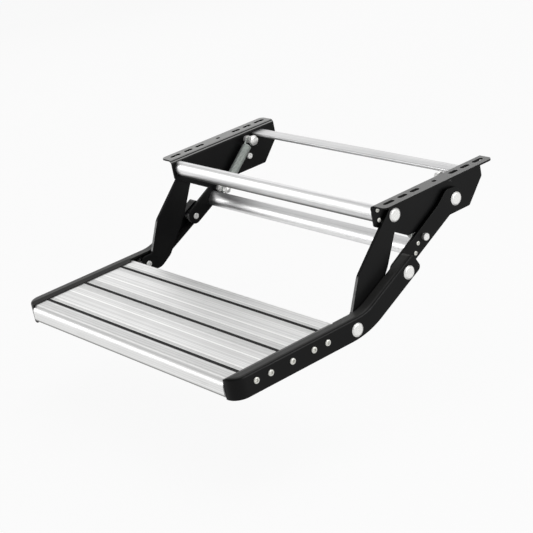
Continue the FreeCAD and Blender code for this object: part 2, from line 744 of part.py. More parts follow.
def rail_rim_edges(shape):
    """Names of the edges along the rail's outer top rim, round its front corner and up its tail."""
    outer = number("rail_outer_x")
    top = number("rail_top_z")
    half_way = number("(rail_top_z + rail_bottom_z) / 2")
    found = []
    for index, edge in enumerate(shape.Edges, start=1):
        middle = edge.valueAt((edge.FirstParameter + edge.LastParameter) / 2)
        along = edge.tangentAt((edge.FirstParameter + edge.LastParameter) / 2)
        on_side = abs(abs(middle.x) - outer) < SAME_PLACE and abs(along.z) < STEEPEST_RIM
        round_front = middle.y < number("rail_front_y + rail_corner") and abs(middle.z - top) < SAME_PLACE
        rise = (middle.y - number("pivot_d_y")) * math.tan(math.radians(number("tail_slope")))
        upper = middle.z > max(half_way, number("pivot_d_z") + rise)
        if upper and (on_side or round_front and abs(middle.x) > number("lip_in") + SAME_PLACE):
            found.append(f"Edge{index}")
    return found


# Tread: one extrusion with a rounded nose, grooves for the strips, ribs and screw ports
def tread_panel():
    body = new_body("tread_panel")
    end = "(rail_outer_x - rail_wall - seat_gap)"
    section = [
        ("tread_front_y", "rail_bottom_z", "chin_round"),
        ("tread_front_y", "tread_top_z", "nose_round"),
        ("tread_back_y", "tread_top_z", "tread_wall"),
        ("tread_back_y", "rail_bottom_z", "tread_wall"),
    ]
    layer(body, "YZ_Plane", "tread_block", f"-{end}", end, [outline(section)])
    front_wall = "tread_front_y + tread_wall - tread_rib / 2"
    back_wall = "tread_back_y - tread_wall + tread_rib / 2"
    walls = [front_wall, *SCREW_YS, back_wall]
    before, beyond = f"-{end} - tread_wall", f"{end} + tread_wall"
    top = "tread_top_z - 2 * tread_wall"
    bottom = "rail_bottom_z + tread_wall"
    chambers = []
    for index, (front, back) in enumerate(zip(walls, walls[1:])):
        front_round = "chin_round - tread_wall" if index == 0 else "tread_rib"
        chambers.append(outline([
            (f"{front} + tread_rib / 2", bottom, front_round),
            (f"{front} + tread_rib / 2", top, front_round),
            (f"{back} - tread_rib / 2", top, "tread_rib"),
            (f"{back} - tread_rib / 2", bottom, "tread_rib"),
        ]))
    layer(body, "YZ_Plane", "tread_chambers", before, beyond, chambers, cut=True)
    bosses = [circle(y, "port_z", "port_radius") for y in SCREW_YS]
    layer(body, "YZ_Plane", "tread_bosses", f"-{end}", end, bosses)
    ports = [circle(y, "port_z", "rail_screw_radius + running_gap") for y in SCREW_YS]
    layer(body, "YZ_Plane", "tread_ports", f"-{end} - tread_wall", f"{end} + tread_wall", ports, cut=True)
    grooves = []
    for y in ("strip_front_y", "strip_middle_y", "strip_rear_y"):
        grooves.append(outline([
            (f"{y} - strip_width / 2 - running_gap", "tread_top_z - strip_height - running_gap"),
            (f"{y} + strip_width / 2 + running_gap", "tread_top_z - strip_height - running_gap"),
            (f"{y} + strip_width / 2 + running_gap", "tread_top_z + tread_wall"),
            (f"{y} - strip_width / 2 - running_gap", "tread_top_z + tread_wall"),
        ]))
    layer(body, "YZ_Plane", "strip_grooves", before, beyond, grooves, cut=True)
    across = next(item for item in body.Origin.OriginFeatures if item.Role == "Y_Axis")
    for strip in ("front", "middle", "rear"):
        for where, way in (("before", -1), ("behind", 1)):
            start = f"strip_{strip}_y + {way} * (strip_width / 2 + groove_margin)"
            notch = outline([
                (f"{start} - groove_width / 2", "tread_top_z"),
                (start, "tread_top_z - groove_depth"),
                (f"{start} + groove_width / 2", "tread_top_z"),
            ])
            name = f"{strip}_groove_{where}"
            groove = layer(body, "YZ_Plane", name, before, beyond, [notch], cut=True)
            row = body.newObject("PartDesign::LinearPattern", f"{name}_row")
            row.Originals = [groove]
            row.Direction = (across, [""])
            row.Reversed = way < 0
            count = f"{strip}_grooves_{where}"
            row.setExpression("Occurrences", formula(count))
            row.setExpression("Length", formula(f"({count} - 1) * groove_pitch"))
            body.Tip = row
            doc.recompute()
    for name, side in SIDES:
        inner = f"{side} * (lip_in + seat_gap)"
        outside = f"{side} * (rail_outer_x + rail_wall)"
        notch = [
            (inner, "tread_front_y - rail_wall"),
            (outside, "tread_front_y - rail_wall"),
            (outside, "rail_front_y + 2 * rail_corner"),
            (f"{side} * {end}", "rail_front_y + 2 * rail_corner"),
            (f"{side} * {end}", "rail_front_y + rail_wall + seat_gap", "rail_corner - rail_wall - seat_gap"),
            (inner, "rail_front_y + rail_wall + seat_gap"),
        ]
        layer(
            body, "XY_Plane", f"corner_notch_{name}", "rail_bottom_z - rail_wall", "rail_top_z",
            [outline(notch)], cut=True,
        )


# Anti-slip strips: pressed into the tread's grooves between the rails
def anti_slip_strip(name, y):
    body = new_body(f"anti_slip_strip_{name}")
    section = [
        (f"{y} - strip_width / 2", "tread_top_z - strip_height"),
        (f"{y} + strip_width / 2", "tread_top_z - strip_height"),
        (f"{y} + strip_width / 2", "tread_top_z + strip_proud", "strip_proud"),
        (f"{y} - strip_width / 2", "tread_top_z + strip_proud", "strip_proud"),
    ]
    half = "(lip_in - seat_gap)"
    layer(body, "YZ_Plane", f"strip_{name}", f"-{half}", half, [outline(section)])


# Cross tubes: D section with its round face to the front, a hollow and two screw ports
def cross_tube(label, half_length, y, z, tilt):
    body = new_body(label)
    section = [
        ("tube_side", "-tube_height / 2", "tube_wall / 2"),
        ("tube_side", "tube_height / 2", "tube_wall / 2"),
        ("0", "tube_height / 2"),
        ("-tube_peak", "0", "tube_front_radius"),
        ("0", "-tube_height / 2"),
    ]
    half_gap = "(tube_port_spread - tube_screw_radius - tube_wall)"
    hollow = [
        ("tube_side - tube_wall", f"-{half_gap}", "tube_wall / 2"),
        ("tube_side - tube_wall", half_gap, "tube_wall / 2"),
        ("-tube_wall", half_gap, "tube_wall / 2"),
        ("-tube_wall", f"-{half_gap}", "tube_wall / 2"),
    ]
    ports = [circle("0", f"{sign} * tube_port_spread", "tube_screw_radius + running_gap") for sign in (1, -1)]
    shapes = [outline(section), outline(hollow)] + ports
    layer(body, "YZ_Plane", label + "_section", f"-{half_length}", half_length, shapes)
    body.Placement.Rotation = FreeCAD.Rotation(FreeCAD.Vector(1, 0, 0), 10)
    body.setExpression("Placement.Rotation.Angle", formula(f"-({tilt})"))
    body.setExpression("Placement.Base.y", formula(y))
    body.setExpression("Placement.Base.z", formula(z))


# Rear bar: flat bar with rounded edges between the brackets
def rear_cross_bar():
    body = new_body("rear_cross_bar")
    section = [
        ("bar_front_y", "bar_bottom_z", "bar_round"),
        ("bar_back_y", "bar_bottom_z", "bar_round"),
        ("bar_back_y", "bar_bottom_z + bar_height", "bar_round"),
        ("bar_front_y", "bar_bottom_z + bar_height", "bar_round"),
    ]
    layer(body, "YZ_Plane", "bar_section", "-plate_x", "plate_x", [outline(section)])
    holes = [circle(y, z, "tube_screw_radius + running_gap") for y, z in BAR_SCREWS]
    for name, side in SIDES:
        layer(
            body, "YZ_Plane", f"bar_holes_{name}", "plate_x - tube_screw_length", "plate_x + sheet",
            holes, side, cut=True,
        )


def rivet(label, side, y, z, tail_end, seat, head_seat):
    """Rivet with a flat domed head outside and a formed tail inside."""
    profile = [
        (tail_end, "0"),
        (tail_end, "rivet_tail_radius", "short_tail / 2"),
        (seat, "rivet_tail_radius"),
        (seat, "rivet_radius"),
        (head_seat, "rivet_radius"),
        (head_seat, "rivet_head_radius"),
        (f"{head_seat} + rivet_head_edge", "rivet_head_radius"),
        (f"{head_seat} + rivet_head_height", "rivet_head_radius - rivet_head_height", "rivet_head_height"),
        (f"{head_seat} + rivet_head_height", "0"),
    ]
    return turned(label, side, profile, y, z)


def screw(label, side, y, z, seat, head_radius, head_height, radius, length):
    """Pan-head screw that points at the middle."""
    profile = [
        (f"{seat} - {length}", "0"),
        (f"{seat} - {length}", radius, "screw_tip"),
        (seat, radius),
        (seat, head_radius),
        (f"{seat} + {head_height}", head_radius, f"{head_height} * pan_round_share"),
        (f"{seat} + {head_height}", "0"),
    ]
    return turned(label, side, profile, y, z)


# Rivets of the four pivots; at pivot D the head stays on the rail and the tail on the rear arm
def pivot_hardware():
    head_seat = "arm_out + face_gap"
    for label, y, z, tail_height in (
        ("front_pivot_rivets", "pivot_a_y", "pivot_a_z", "short_tail"),
        ("rear_pivot_rivets", "pivot_b_y", "pivot_b_z", "long_tail"),
    ):
        pieces = [
            rivet(f"{label}_{name}", side, y, z, f"plate_x - {tail_height}", "plate_x", head_seat)
            for name, side in SIDES
        ]
        joined(label, "Part::Compound", pieces)
    washers = []
    for name, side in SIDES:
        for pivot in ("a", "b"):
            place = (side, "plate_out", "plate_out + washer_height", f"pivot_{pivot}_y", f"pivot_{pivot}_z")
            disc = rod(f"washer_disc_{pivot}_{name}", "Part::Cylinder", *place, Radius="washer_radius")
            hole = rod(f"washer_hole_{pivot}_{name}", "Part::Cylinder", *place, Radius=RIVET_HOLE)
            washers.append(drilled(f"washer_{pivot}_{name}", disc, hole))
    joined("pivot_washers", "Part::Compound", washers)
    foot = [
        rivet(
            f"foot_rivet_{name}", side, "pivot_c_y", "pivot_c_z", "arm_in - face_gap - short_tail",
            "arm_in - face_gap", "rail_outer_x",
        )
        for name, side in SIDES
    ]
    joined("foot_rivets", "Part::Compound", foot)
    rail = []
    studs = []
    head_top = "rail_outer_x + rivet_head_height"
    for name, side in SIDES:
        head_profile = [
            ("rail_stud_end", "0"),
            ("rail_stud_end", "rivet_radius"),
            ("rail_outer_x", "rivet_radius"),
            ("rail_outer_x", "rivet_head_radius"),
            ("rail_outer_x + rivet_head_edge", "rivet_head_radius"),
            (head_top, "rivet_head_radius - rivet_head_height", "rivet_head_height"),
            (head_top, "0"),
        ]
        rail.append(turned(f"rail_rivet_{name}", side, head_profile, "pivot_d_y", "pivot_d_z"))
        stud_profile = [
            ("arm_in - short_tail", "0"),
            ("arm_in - short_tail", "rivet_tail_radius", "short_tail / 2"),
            ("arm_in", "rivet_tail_radius"),
            ("arm_in", "rivet_radius"),
            ("arm_out", "rivet_radius"),
            ("arm_out", "0"),
        ]
        studs.append(turned(f"rail_stud_{name}", side, stud_profile, "pivot_d_y", "pivot_d_z"))
    joined("rail_rivets", "Part::Compound", rail)
    joined("rear_arm_studs", "Part::Compound", studs)
    spacers = []
    for name, side in SIDES:
        for pivot, start in (("c", "arm_out + spacer_gap"), ("d", "rail_stud_end")):
            place = (side, start, "web_in", f"pivot_{pivot}_y", f"pivot_{pivot}_z")
            disc = rod(f"spacer_disc_{pivot}_{name}", "Part::Cylinder", *place, Radius="spacer_radius")
            hole = rod(f"spacer_hole_{pivot}_{name}", "Part::Cylinder", *place, Radius=RIVET_HOLE)
            spacers.append(drilled(f"spacer_{pivot}_{name}", disc, hole))
    joined("rail_spacers", "Part::Compound", spacers)


# Screws of the cross tubes, the bar and the rails
def screws():
    small = ("tube_screw_head_radius", "tube_screw_head_height", "tube_screw_radius", "tube_screw_length")
    large = ("rail_screw_head_radius", "rail_screw_head_height", "rail_screw_radius", "rail_screw_length")
    for label, places, seat, sizes in (
        ("front_tube_screws", FRONT_PORTS, "plate_out", small),
        ("lower_tube_screws", LOWER_PORTS, "arm_out", small),
        ("rear_bar_screws", BAR_SCREWS, "plate_out", small),
    ):
        pieces = [
            screw(f"{label}_{index}_{name}", side, y, z, seat, *sizes)
            for name, side in SIDES
            for index, (y, z) in enumerate(places)
        ]
        joined(label, "Part::Compound", pieces)
    for name, side in SIDES:
        pieces = [
            screw(f"rail_screw_{index}_{name}", side, y, "port_z", "rail_outer_x", *large)
            for index, y in enumerate(SCREW_YS)
        ]
        joined(f"rail_screws_{name}", "Part::Compound", pieces)


# Springs: wound body with a hook at each end, from the bracket's bolt to the rear arm's bolt
def spring(name, side):
    drop = f"({LOWER_BOLT[1]} - upper_bolt_z)"
    forward = f"(upper_bolt_y - {LOWER_BOLT[0]})"
    span = f"hypot({forward}; {drop})"
    outer = doc.addObject("Part::Cylinder", f"spring_outer_{name}")
    outer.setExpression("Radius", formula("spring_radius"))
    outer.setExpression("Height", formula(f"{span} - 2 * spring_lead"))
    outer.setExpression("Placement.Base.z", formula("spring_lead"))
    inner = doc.addObject("Part::Cylinder", f"spring_inner_{name}")
    inner.setExpression("Radius", formula("spring_radius - spring_wire"))
    inner.setExpression("Height", formula(f"{span} - 2 * spring_lead - 2 * spring_wire"))
    inner.setExpression("Placement.Base.z", formula("spring_lead + spring_wire"))
    coil = drilled(f"spring_coil_{name}", outer, inner)
    pieces = [coil]
    for end, centre, start in (
        ("upper", "0", "hook_radius"),
        ("lower", span, f"{span} - spring_lead - spring_wire / 2"),
    ):
        ring = doc.addObject("Part::Torus", f"spring_ring_{end}_{name}")
        ring.setExpression("Radius1", formula("hook_radius"))
        ring.setExpression("Radius2", formula("spring_wire / 2"))
        ring.Placement = FreeCAD.Placement(FreeCAD.Vector(), ALONG_X)
        ring.setExpression("Placement.Base.z", formula(centre))
        neck = doc.addObject("Part::Cylinder", f"spring_neck_{end}_{name}")
        neck.setExpression("Radius", formula("spring_wire / 2"))
        neck.setExpression("Height", formula("spring_lead + spring_wire / 2 - hook_radius"))
        neck.setExpression("Placement.Base.z", formula(start))
        pieces += [ring, neck]
    whole = joined(f"spring_{name}", "Part::MultiFuse", pieces)
    whole.Placement.Rotation = FreeCAD.Rotation(FreeCAD.Vector(1, 0, 0), 10)
    whole.setExpression("Placement.Rotation.Angle", formula(f"atan2({forward}; {drop})"))
    whole.setExpression("Placement.Base.x", formula(f"{side} * spring_x"))
    whole.setExpression("Placement.Base.y", formula("upper_bolt_y"))
    whole.setExpression("Placement.Base.z", formula("upper_bolt_z"))


def hexagon(label, side, near, far, y, z, across):
    piece = rod(label, "Part::Prism", side, near, far, y, z, Circumradius=f"({across}) / sqrt(3)")
    piece.Polygon = 6
    return piece


# Spring bolts and their nuts
def spring_hardware():
    uppers, upper_nuts, lowers, lower_nuts = [], [], [], []
    for name, side in SIDES:
        upper = ("upper_bolt_y", "upper_bolt_z")
        shank = rod(
            f"upper_shank_{name}", "Part::Cylinder", side, "far_side", "plate_out", *upper,
            Radius="bolt_radius",
        )
        head = hexagon(
            f"upper_head_{name}", side, "far_side - upper_head_height", "far_side", *upper,
            "upper_head_across",
        )
        uppers.append(joined(f"upper_spring_bolt_{name}", "Part::MultiFuse", [shank, head]))
        shank = rod(
            f"lower_shank_{name}", "Part::Cylinder", side, "far_side - nut_height - bolt_tip", "arm_out",
            *LOWER_BOLT, Radius="bolt_radius",
        )
        head = rod(
            f"lower_head_{name}", "Part::Cylinder", side, "arm_out", "arm_out + lower_head_height",
            *LOWER_BOLT, Radius="lower_head_radius",
        )
        lowers.append(joined(f"lower_spring_bolt_{name}", "Part::MultiFuse", [shank, head]))
        nuts = (
            (upper_nuts, "upper_plate_nut", "plate_x - nut_height", "plate_x", upper),
            (lower_nuts, "lower_arm_nut", "arm_in - nut_height", "arm_in", LOWER_BOLT),
            (lower_nuts, "lower_end_nut", "far_side - nut_height", "far_side", LOWER_BOLT),
        )
        for group, label, near, far, place in nuts:
            block = hexagon(f"{label}_block_{name}", side, near, far, *place, "nut_across")
            bore = rod(
                f"{label}_bore_{name}", "Part::Cylinder", side, near, far, *place,
                Radius="bolt_radius + running_gap",
            )
            group.append(drilled(f"{label}_{name}", block, bore))
    joined("upper_spring_bolts", "Part::Compound", uppers)
    joined("upper_spring_nuts", "Part::Compound", upper_nuts)
    joined("lower_spring_bolts", "Part::Compound", lowers)
    joined("lower_spring_nuts", "Part::Compound", lower_nuts)


for side_name, side_sign in SIDES:
    mount_bracket(side_name, side_sign)
    front_arm(side_name, side_sign)
    rear_arm(side_name, side_sign)
    tread_rail(side_name, side_sign)
    spring(side_name, side_sign)
tread_panel()
for strip_name in ("front", "middle", "rear"):
    anti_slip_strip(strip_name, f"strip_{strip_name}_y")
cross_tube("front_cross_tube", "plate_x", "front_tube_y", "front_tube_z", "0")
cross_tube("lower_cross_tube", "arm_in", *LOWER_TUBE, "lower_tube_tilt")
rear_cross_bar()
pivot_hardware()
screws()
spring_hardware()
doc.recompute()

NODES = [
    "mount_bracket_left", "mount_bracket_right", "front_cross_tube", "rear_cross_bar",
    "front_tube_screws", "rear_bar_screws", "front_pivot_rivets", "rear_pivot_rivets", "pivot_washers",
    "upper_spring_bolts", "upper_spring_nuts",
    "front_arm_left", "front_arm_right",
    "rear_arm_left", "rear_arm_right", "lower_cross_tube", "lower_tube_screws", "rear_arm_studs",
    "lower_spring_bolts", "lower_spring_nuts",
    "tread_rail_left", "tread_rail_right", "tread_panel",
    "anti_slip_strip_front", "anti_slip_strip_middle", "anti_slip_strip_rear",
    "rail_screws_left", "rail_screws_right", "foot_rivets", "rail_rivets", "rail_spacers",
    "spring_left", "spring_right",
]

failed = [item.Label for item in doc.Objects if "Invalid" in item.State or "Error" in item.State]
assert not failed, f"failed: {failed}"
for node in NODES:
    part_object = doc.getObjectsByLabel(node)[0]
    shape = part_object.Shape
    assert not shape.isNull() and shape.isValid(), f"bad shape: {node}"
    shape.exportStep(f"parts/{node}.step")
    print(node, len(shape.Solids), "solids", round(shape.Volume))
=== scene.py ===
import json
import math

import bmesh
import bpy
from mathutils import Matrix, Vector


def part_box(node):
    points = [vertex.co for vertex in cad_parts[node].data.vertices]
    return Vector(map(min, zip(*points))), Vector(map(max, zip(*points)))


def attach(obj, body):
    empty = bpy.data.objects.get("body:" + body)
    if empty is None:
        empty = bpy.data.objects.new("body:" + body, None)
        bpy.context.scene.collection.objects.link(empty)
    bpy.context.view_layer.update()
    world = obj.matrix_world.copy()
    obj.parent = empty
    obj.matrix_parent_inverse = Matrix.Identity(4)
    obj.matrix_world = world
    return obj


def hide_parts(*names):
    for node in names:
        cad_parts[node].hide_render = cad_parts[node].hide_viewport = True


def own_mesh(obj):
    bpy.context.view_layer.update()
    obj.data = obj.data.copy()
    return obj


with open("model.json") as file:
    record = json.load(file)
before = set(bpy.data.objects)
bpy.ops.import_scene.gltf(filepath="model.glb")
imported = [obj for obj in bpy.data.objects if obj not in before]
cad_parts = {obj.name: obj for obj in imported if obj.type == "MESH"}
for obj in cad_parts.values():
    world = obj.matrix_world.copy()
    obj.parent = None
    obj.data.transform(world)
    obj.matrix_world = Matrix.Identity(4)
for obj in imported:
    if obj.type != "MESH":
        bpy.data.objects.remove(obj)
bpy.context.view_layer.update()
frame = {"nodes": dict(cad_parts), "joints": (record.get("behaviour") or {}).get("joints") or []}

nodes = frame["nodes"]


# Mounting brackets: two plates of folded sheet steel that bolt up under the floor through slots.
# Blanked, bent and powder coated in satin black, so the skin has a fine orange peel and holds dust.
# Its upward faces carry a painted sheen and its bends a thin painted highlight.
class Term:
    """One shader socket that takes part in sums, so that a mask reads as a formula."""

    def __init__(self, tree, socket):
        self.tree = tree
        self.socket = socket

    def node(self, kind, settings=None, sockets=None, output=0):
        made = self.tree.nodes.new(kind)
        for name, value in (settings or {}).items():
            setattr(made, name, value)
        for name, value in (sockets or {}).items():
            if isinstance(value, Term):
                self.tree.links.new(value.socket, made.inputs[name])
            else:
                made.inputs[name].default_value = value
        return Term(self.tree, made.outputs[output])

    def maths(self, operation, first, second):
        return self.node("ShaderNodeMath", {"operation": operation}, {0: first, 1: second})

    def __add__(self, other):
        return self.maths("ADD", self, other)

    def __radd__(self, other):
        return self.maths("ADD", other, self)

    def __sub__(self, other):
        return self.maths("SUBTRACT", self, other)

    def __rsub__(self, other):
        return self.maths("SUBTRACT", other, self)

    def __mul__(self, other):
        return self.maths("MULTIPLY", self, other)

    def __rmul__(self, other):
        return self.maths("MULTIPLY", other, self)

    def spread(self, low, high, to_low=0.0, to_high=1.0):
        """Smooth ramp from to_low at low to to_high at high."""
        sockets = {"Value": self, "From Min": low, "From Max": high, "To Min": to_low, "To Max": to_high}
        return self.node("ShaderNodeMapRange", {"interpolation_type": "SMOOTHSTEP"}, sockets)

    def mix(self, first, second):
        """First colour where this term is 0, second where it is 1."""
        return self.node("ShaderNodeMix", {"data_type": "RGBA"}, {0: self, 6: first, 7: second}, output=2)

    def bump(self, strength, distance):
        sockets = {"Strength": strength, "Distance": distance, "Height": self}
        return self.node("ShaderNodeBump", sockets=sockets)

    def noise(self, scale, stretch=(1.0, 1.0, 1.0), detail=2.0):
        """Noise over the piece's own metres, drawn out along an axis by a small stretch."""
        painted_highlights = self.node("ShaderNodeMapping", sockets={"Vector": self, "Scale": stretch})
        sockets = {"Vector": painted_highlights, "Scale": scale, "Detail": detail}
        return self.node("ShaderNodeTexNoise", sockets=sockets)

    def axis(self, name):
        """One coordinate of the place, in metres."""
        return self.node("ShaderNodeSeparateXYZ", sockets={"Vector": self}, output="XYZ".index(name))


class Finish:
    """A principled material: plain sockets are set once, and varying ones are linked by name."""

    def __init__(self, name, color, roughness, metallic=0.0, **plain):
        self.material = bpy.data.materials.new(name)
        self.material.use_nodes = True
        tree = self.material.node_tree
        self.shader = next(item for item in tree.nodes if item.type == "BSDF_PRINCIPLED")
        self.shader.inputs["Base Color"].default_value = (*color, 1.0)
        self.shader.inputs["Roughness"].default_value = roughness
        self.shader.inputs["Metallic"].default_value = metallic
        for socket, value in plain.items():
            self.shader.inputs[socket.replace("_", " ")].default_value = value
        self.place = Term(tree, tree.nodes.new("ShaderNodeTexCoord").outputs["Object"])

    def link(self, socket, term):
        term.tree.links.new(term.socket, self.shader.inputs[socket])

    def facing(self, axis, low, high):
        """How far the surface faces along an axis of its own piece, from 0 at low to 1 at high."""
        normal = Term(self.place.tree, self.place.tree.nodes.new("ShaderNodeTexCoord").outputs["Normal"])
        return normal.axis(axis).spread(low, high)

    def worn_edge(self, radius):
        """About 1 on sharp edges and 0 on flats, from the bevelled normal."""
        rounded = self.place.node("ShaderNodeBevel", {"samples": 4}, {"Radius": radius})
        flat = Term(self.place.tree, self.place.tree.nodes.new("ShaderNodeNewGeometry").outputs["Normal"])
        likeness = flat.node(
            "ShaderNodeVectorMath", {"operation": "DOT_PRODUCT"}, {0: rounded, 1: flat}, "Value"
        )
        return (1.0 - likeness).spread(0.02, 0.2)

    def dress(self, *names):
        """Put the finish on CAD nodes in place of their plain one."""
        for name in names:
            mesh = nodes[name].data
            mesh.materials.clear()
            mesh.materials.append(self.material)


COAT_BLACK = (0.0026, 0.0027, 0.0029, 1.0)
COAT_DUSTY = (0.0042, 0.0043, 0.0044, 1.0)
COAT_SHEEN = 0.13
CLOUDY = (0.35, 0.7)
FLANGE_SHEEN = (0.42, 0.42, 0.415, 1.0)
FACING_UP = (0.75, 0.98)
BEND_FROM, BEND_TO = (0.36, 0.46), (0.6, 0.68)
BEND_HIGHLIGHT = 0.8


def black_coat(name, roughness, cloud_scale, peel_scale):
    """Satin black powder coat with its orange peel, and the cloudy mask that varies it."""
    finish = Finish(name, COAT_BLACK[:3], roughness, Specular_IOR_Level=COAT_SHEEN)
    finish.link("Normal", finish.place.noise(peel_scale, detail=1.0).bump(0.16, 0.0004))
    return finish, finish.place.noise(cloud_scale, detail=4.0)


coat, cloud = black_coat("satin_black_coat", 0.36, 11.0, 850.0)
speckle = coat.place.noise(2600.0, detail=1.0)
# Painted highlight: a thin pale line along the round of each bend.
bend_highlight = coat.facing("Z", *BEND_FROM) * (1.0 - coat.facing("Z", *BEND_TO))
# Painted sheen on the upward faces, fading towards +X as painted light falloff.
painted_falloff = coat.place.axis("X").spread(-0.25, 0.25, 1.0, 0.58)
sheen_on_tops = coat.facing("Z", *FACING_UP) * cloud.spread(0.1, 0.9, 0.75, 1.0) * painted_falloff
skin = cloud.spread(*CLOUDY).mix(COAT_BLACK, COAT_DUSTY)
coat.link("Base Color", (sheen_on_tops + bend_highlight * BEND_HIGHLIGHT).mix(skin, FLANGE_SHEEN))
coat.link("Roughness", cloud.spread(0.3, 0.75, 0.32, 0.42) + speckle.spread(0.4, 0.7, -0.02, 0.03))
coat.dress("mount_bracket_left", "mount_bracket_right")

# Cross tubes and rear bar: extruded aluminium left bare, with the die's fine lines along its length.
# Two D tubes and a flat bar, sawn to length and held by screws that run into their ends.
TUBE_PALE = (0.90, 0.90, 0.90, 1.0)
TUBE_DULL = (0.74, 0.74, 0.745, 1.0)
# The rear bar's colours are the tubes' aluminium darkened: painted shade.
BAR_SHADED_PALE = (0.70, 0.70, 0.70, 1.0)
BAR_SHADED_DULL = (0.58, 0.58, 0.585, 1.0)
UNDERSIDE_SHADE = (0.22, 0.22, 0.215, 1.0)
UNDERSIDE = (-0.58, -0.27)


def extruded_finish(name, pale, dull):
    """Bare extruded aluminium, drawn along X, with painted shade on its undersides."""
    metal = Finish(name, pale[:3], 0.4, 1.0)
    die_lines = metal.place.noise(1500.0, (0.003, 1.0, 1.0), 2.0)
    streaks = metal.place.noise(330.0, (0.004, 1.0, 1.0), 3.0)
    bloom = metal.place.noise(14.0, (0.5, 1.0, 1.0), 3.0)
    tone = streaks.spread(0.4, 0.6) * 0.7 + bloom.spread(0.3, 0.7) * 0.3
    painted_underside_shade = 1.0 - metal.facing("Z", *UNDERSIDE)
    metal.link("Base Color", painted_underside_shade.mix(tone.mix(pale, dull), UNDERSIDE_SHADE))
    metal.link("Roughness", tone.spread(0.0, 1.0, 0.34, 0.46))
    metal.link("Normal", die_lines.bump(0.12, 0.0002))
    return metal


extruded_finish("tube_aluminium", TUBE_PALE, TUBE_DULL).dress("front_cross_tube", "lower_cross_tube")
extruded_finish("bar_aluminium_painted_shade", BAR_SHADED_PALE, BAR_SHADED_DULL).dress("rear_cross_bar")

# Front and rear arms: flat steel bars of 6.5 mm, blanked to shape with eased edges and coated as the
# brackets are. Where tools and boots have touched the rims the coat is rubbed a little paler. Their
# forward-facing edges carry a patchy painted highlight.
RUBBED = (0.045, 0.045, 0.046, 1.0)
FRONT_EDGE_HIGHLIGHT = (0.30, 0.30, 0.30, 1.0)
FRONT_EDGES = (-0.88, -0.8)
arm_coat, cloud = black_coat("satin_black_coat_arms", 0.36, 13.0, 850.0)
scuff = arm_coat.place.noise(240.0, detail=3.0).spread(0.5, 0.62)
rubbed = arm_coat.worn_edge(0.0012) * scuff
skin = cloud.spread(*CLOUDY).mix(COAT_BLACK, COAT_DUSTY)
skin = (rubbed * 0.5).mix(skin, RUBBED)
patchy = arm_coat.place.noise(90.0, detail=3.0).spread(0.2, 0.6, 0.5, 1.0)
# Painted highlight, patchy, on the faces that look forward.
painted_front_highlight = (1.0 - arm_coat.facing("Y", *FRONT_EDGES)) * patchy
arm_coat.link("Base Color", painted_front_highlight.mix(skin, FRONT_EDGE_HIGHLIGHT))
arm_coat.link("Roughness", cloud.spread(0.3, 0.75, 0.32, 0.42) + rubbed * 0.1)
arm_coat.dress("front_arm_left", "front_arm_right", "rear_arm_left", "rear_arm_right")

# Pivot rivets, washers and spacers: zinc-plated steel, turned and headed cold. The plating is a
# little warm and cloudy, with fine turning rings on the flat of each head.
ZINC_PALE = (0.96, 0.955, 0.94, 1.0)
ZINC_DULL = (0.86, 0.86, 0.84, 1.0)
ZINC_METAL = 0.55


def zinc_finish(name, roughness_low, roughness_high, pale=ZINC_PALE, dull=ZINC_DULL):
    zinc = Finish(name, pale[:3], roughness_low, ZINC_METAL)
    mottle = zinc.place.noise(240.0, detail=3.0)
    fine = zinc.place.noise(1900.0, detail=1.0)
    zinc.link("Base Color", mottle.spread(0.3, 0.7).mix(pale, dull))
    zinc.link("Roughness", mottle.spread(0.3, 0.7, roughness_low, roughness_high))
    zinc.link("Normal", fine.bump(0.12, 0.0002))
    return zinc


rivet_zinc = zinc_finish("zinc_plated_rivets", 0.24, 0.38)
rivet_zinc.dress(
    "front_pivot_rivets", "rear_pivot_rivets", "foot_rivets", "rail_rivets", "rear_arm_studs",
    "pivot_washers", "rail_spacers",
)

# Springs: hard-drawn wire of 2.5 mm, coiled close, with a hook at each end over its bolt. Zinc
# plated, greyer than the bolts. The lower hook's straight shank lies inside the coils. With the step
# folded the bolts stand further apart; how far that draws the hook out is worked out, but nothing moves
# it.
SPRING_WIRE = 0.0025
SPRING_OUTER = 0.0088
BOLT_RADIUS = 0.004
HOOK_GAP = 0.0002
LEAD = 0.013
SHANK_INSIDE = 0.02
COIL_CLOSENESS = 0.93
DRAW_SHARE = 0.02
WIRE_SIDES = 8
TURN_STEPS = 20
HOOK_TURN = 215
HOOK_STEPS = 24
SPRING_PALE = (0.60, 0.64, 0.61, 1.0)
SPRING_DULL = (0.47, 0.51, 0.48, 1.0)


def solids(name):
    """Boxes of a CAD node's separate solids, as (low, high) corners, in order of place."""
    work = bmesh.new()
    work.from_mesh(nodes[name].data)
    bmesh.ops.remove_doubles(work, verts=work.verts, dist=1e-6)
    boxes = []
    waiting = set(work.verts)
    while waiting:
        group = []
        front = [waiting.pop()]
        while front:
            vert = front.pop()
            group.append(vert.co.copy())
            for edge in vert.link_edges:
                other = edge.other_vert(vert)
                if other in waiting:
                    waiting.remove(other)
                    front.append(other)
        low = Vector([min(point[i] for point in group) for i in range(3)])
        high = Vector([max(point[i] for point in group) for i in range(3)])
        boxes.append((low, high))
    work.free()
    return sorted(boxes, key=lambda box: [round(value, 4) for value in box[0]])


def link_object(name, data):
    made = bpy.data.objects.new(name, data)
    bpy.context.scene.collection.objects.link(made)
    return made


def link_piece(name, mesh, body, node):
    """Put a finished mesh in the scene as a piece of a body, in place of a CAD node."""
    piece = link_object(name, mesh)
    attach(piece, body)
    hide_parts(node)
    return piece


def mesh_of(work, name):
    """Plain mesh of finished bmesh work."""
    mesh = bpy.data.meshes.new(name)
    work.to_mesh(mesh)
    work.free()
    return mesh


def modified(holder):
    """Plain mesh of an object as its modifiers or its bevel leave it."""
    graph = bpy.context.evaluated_depsgraph_get()
    return bpy.data.meshes.new_from_object(holder.evaluated_get(graph))


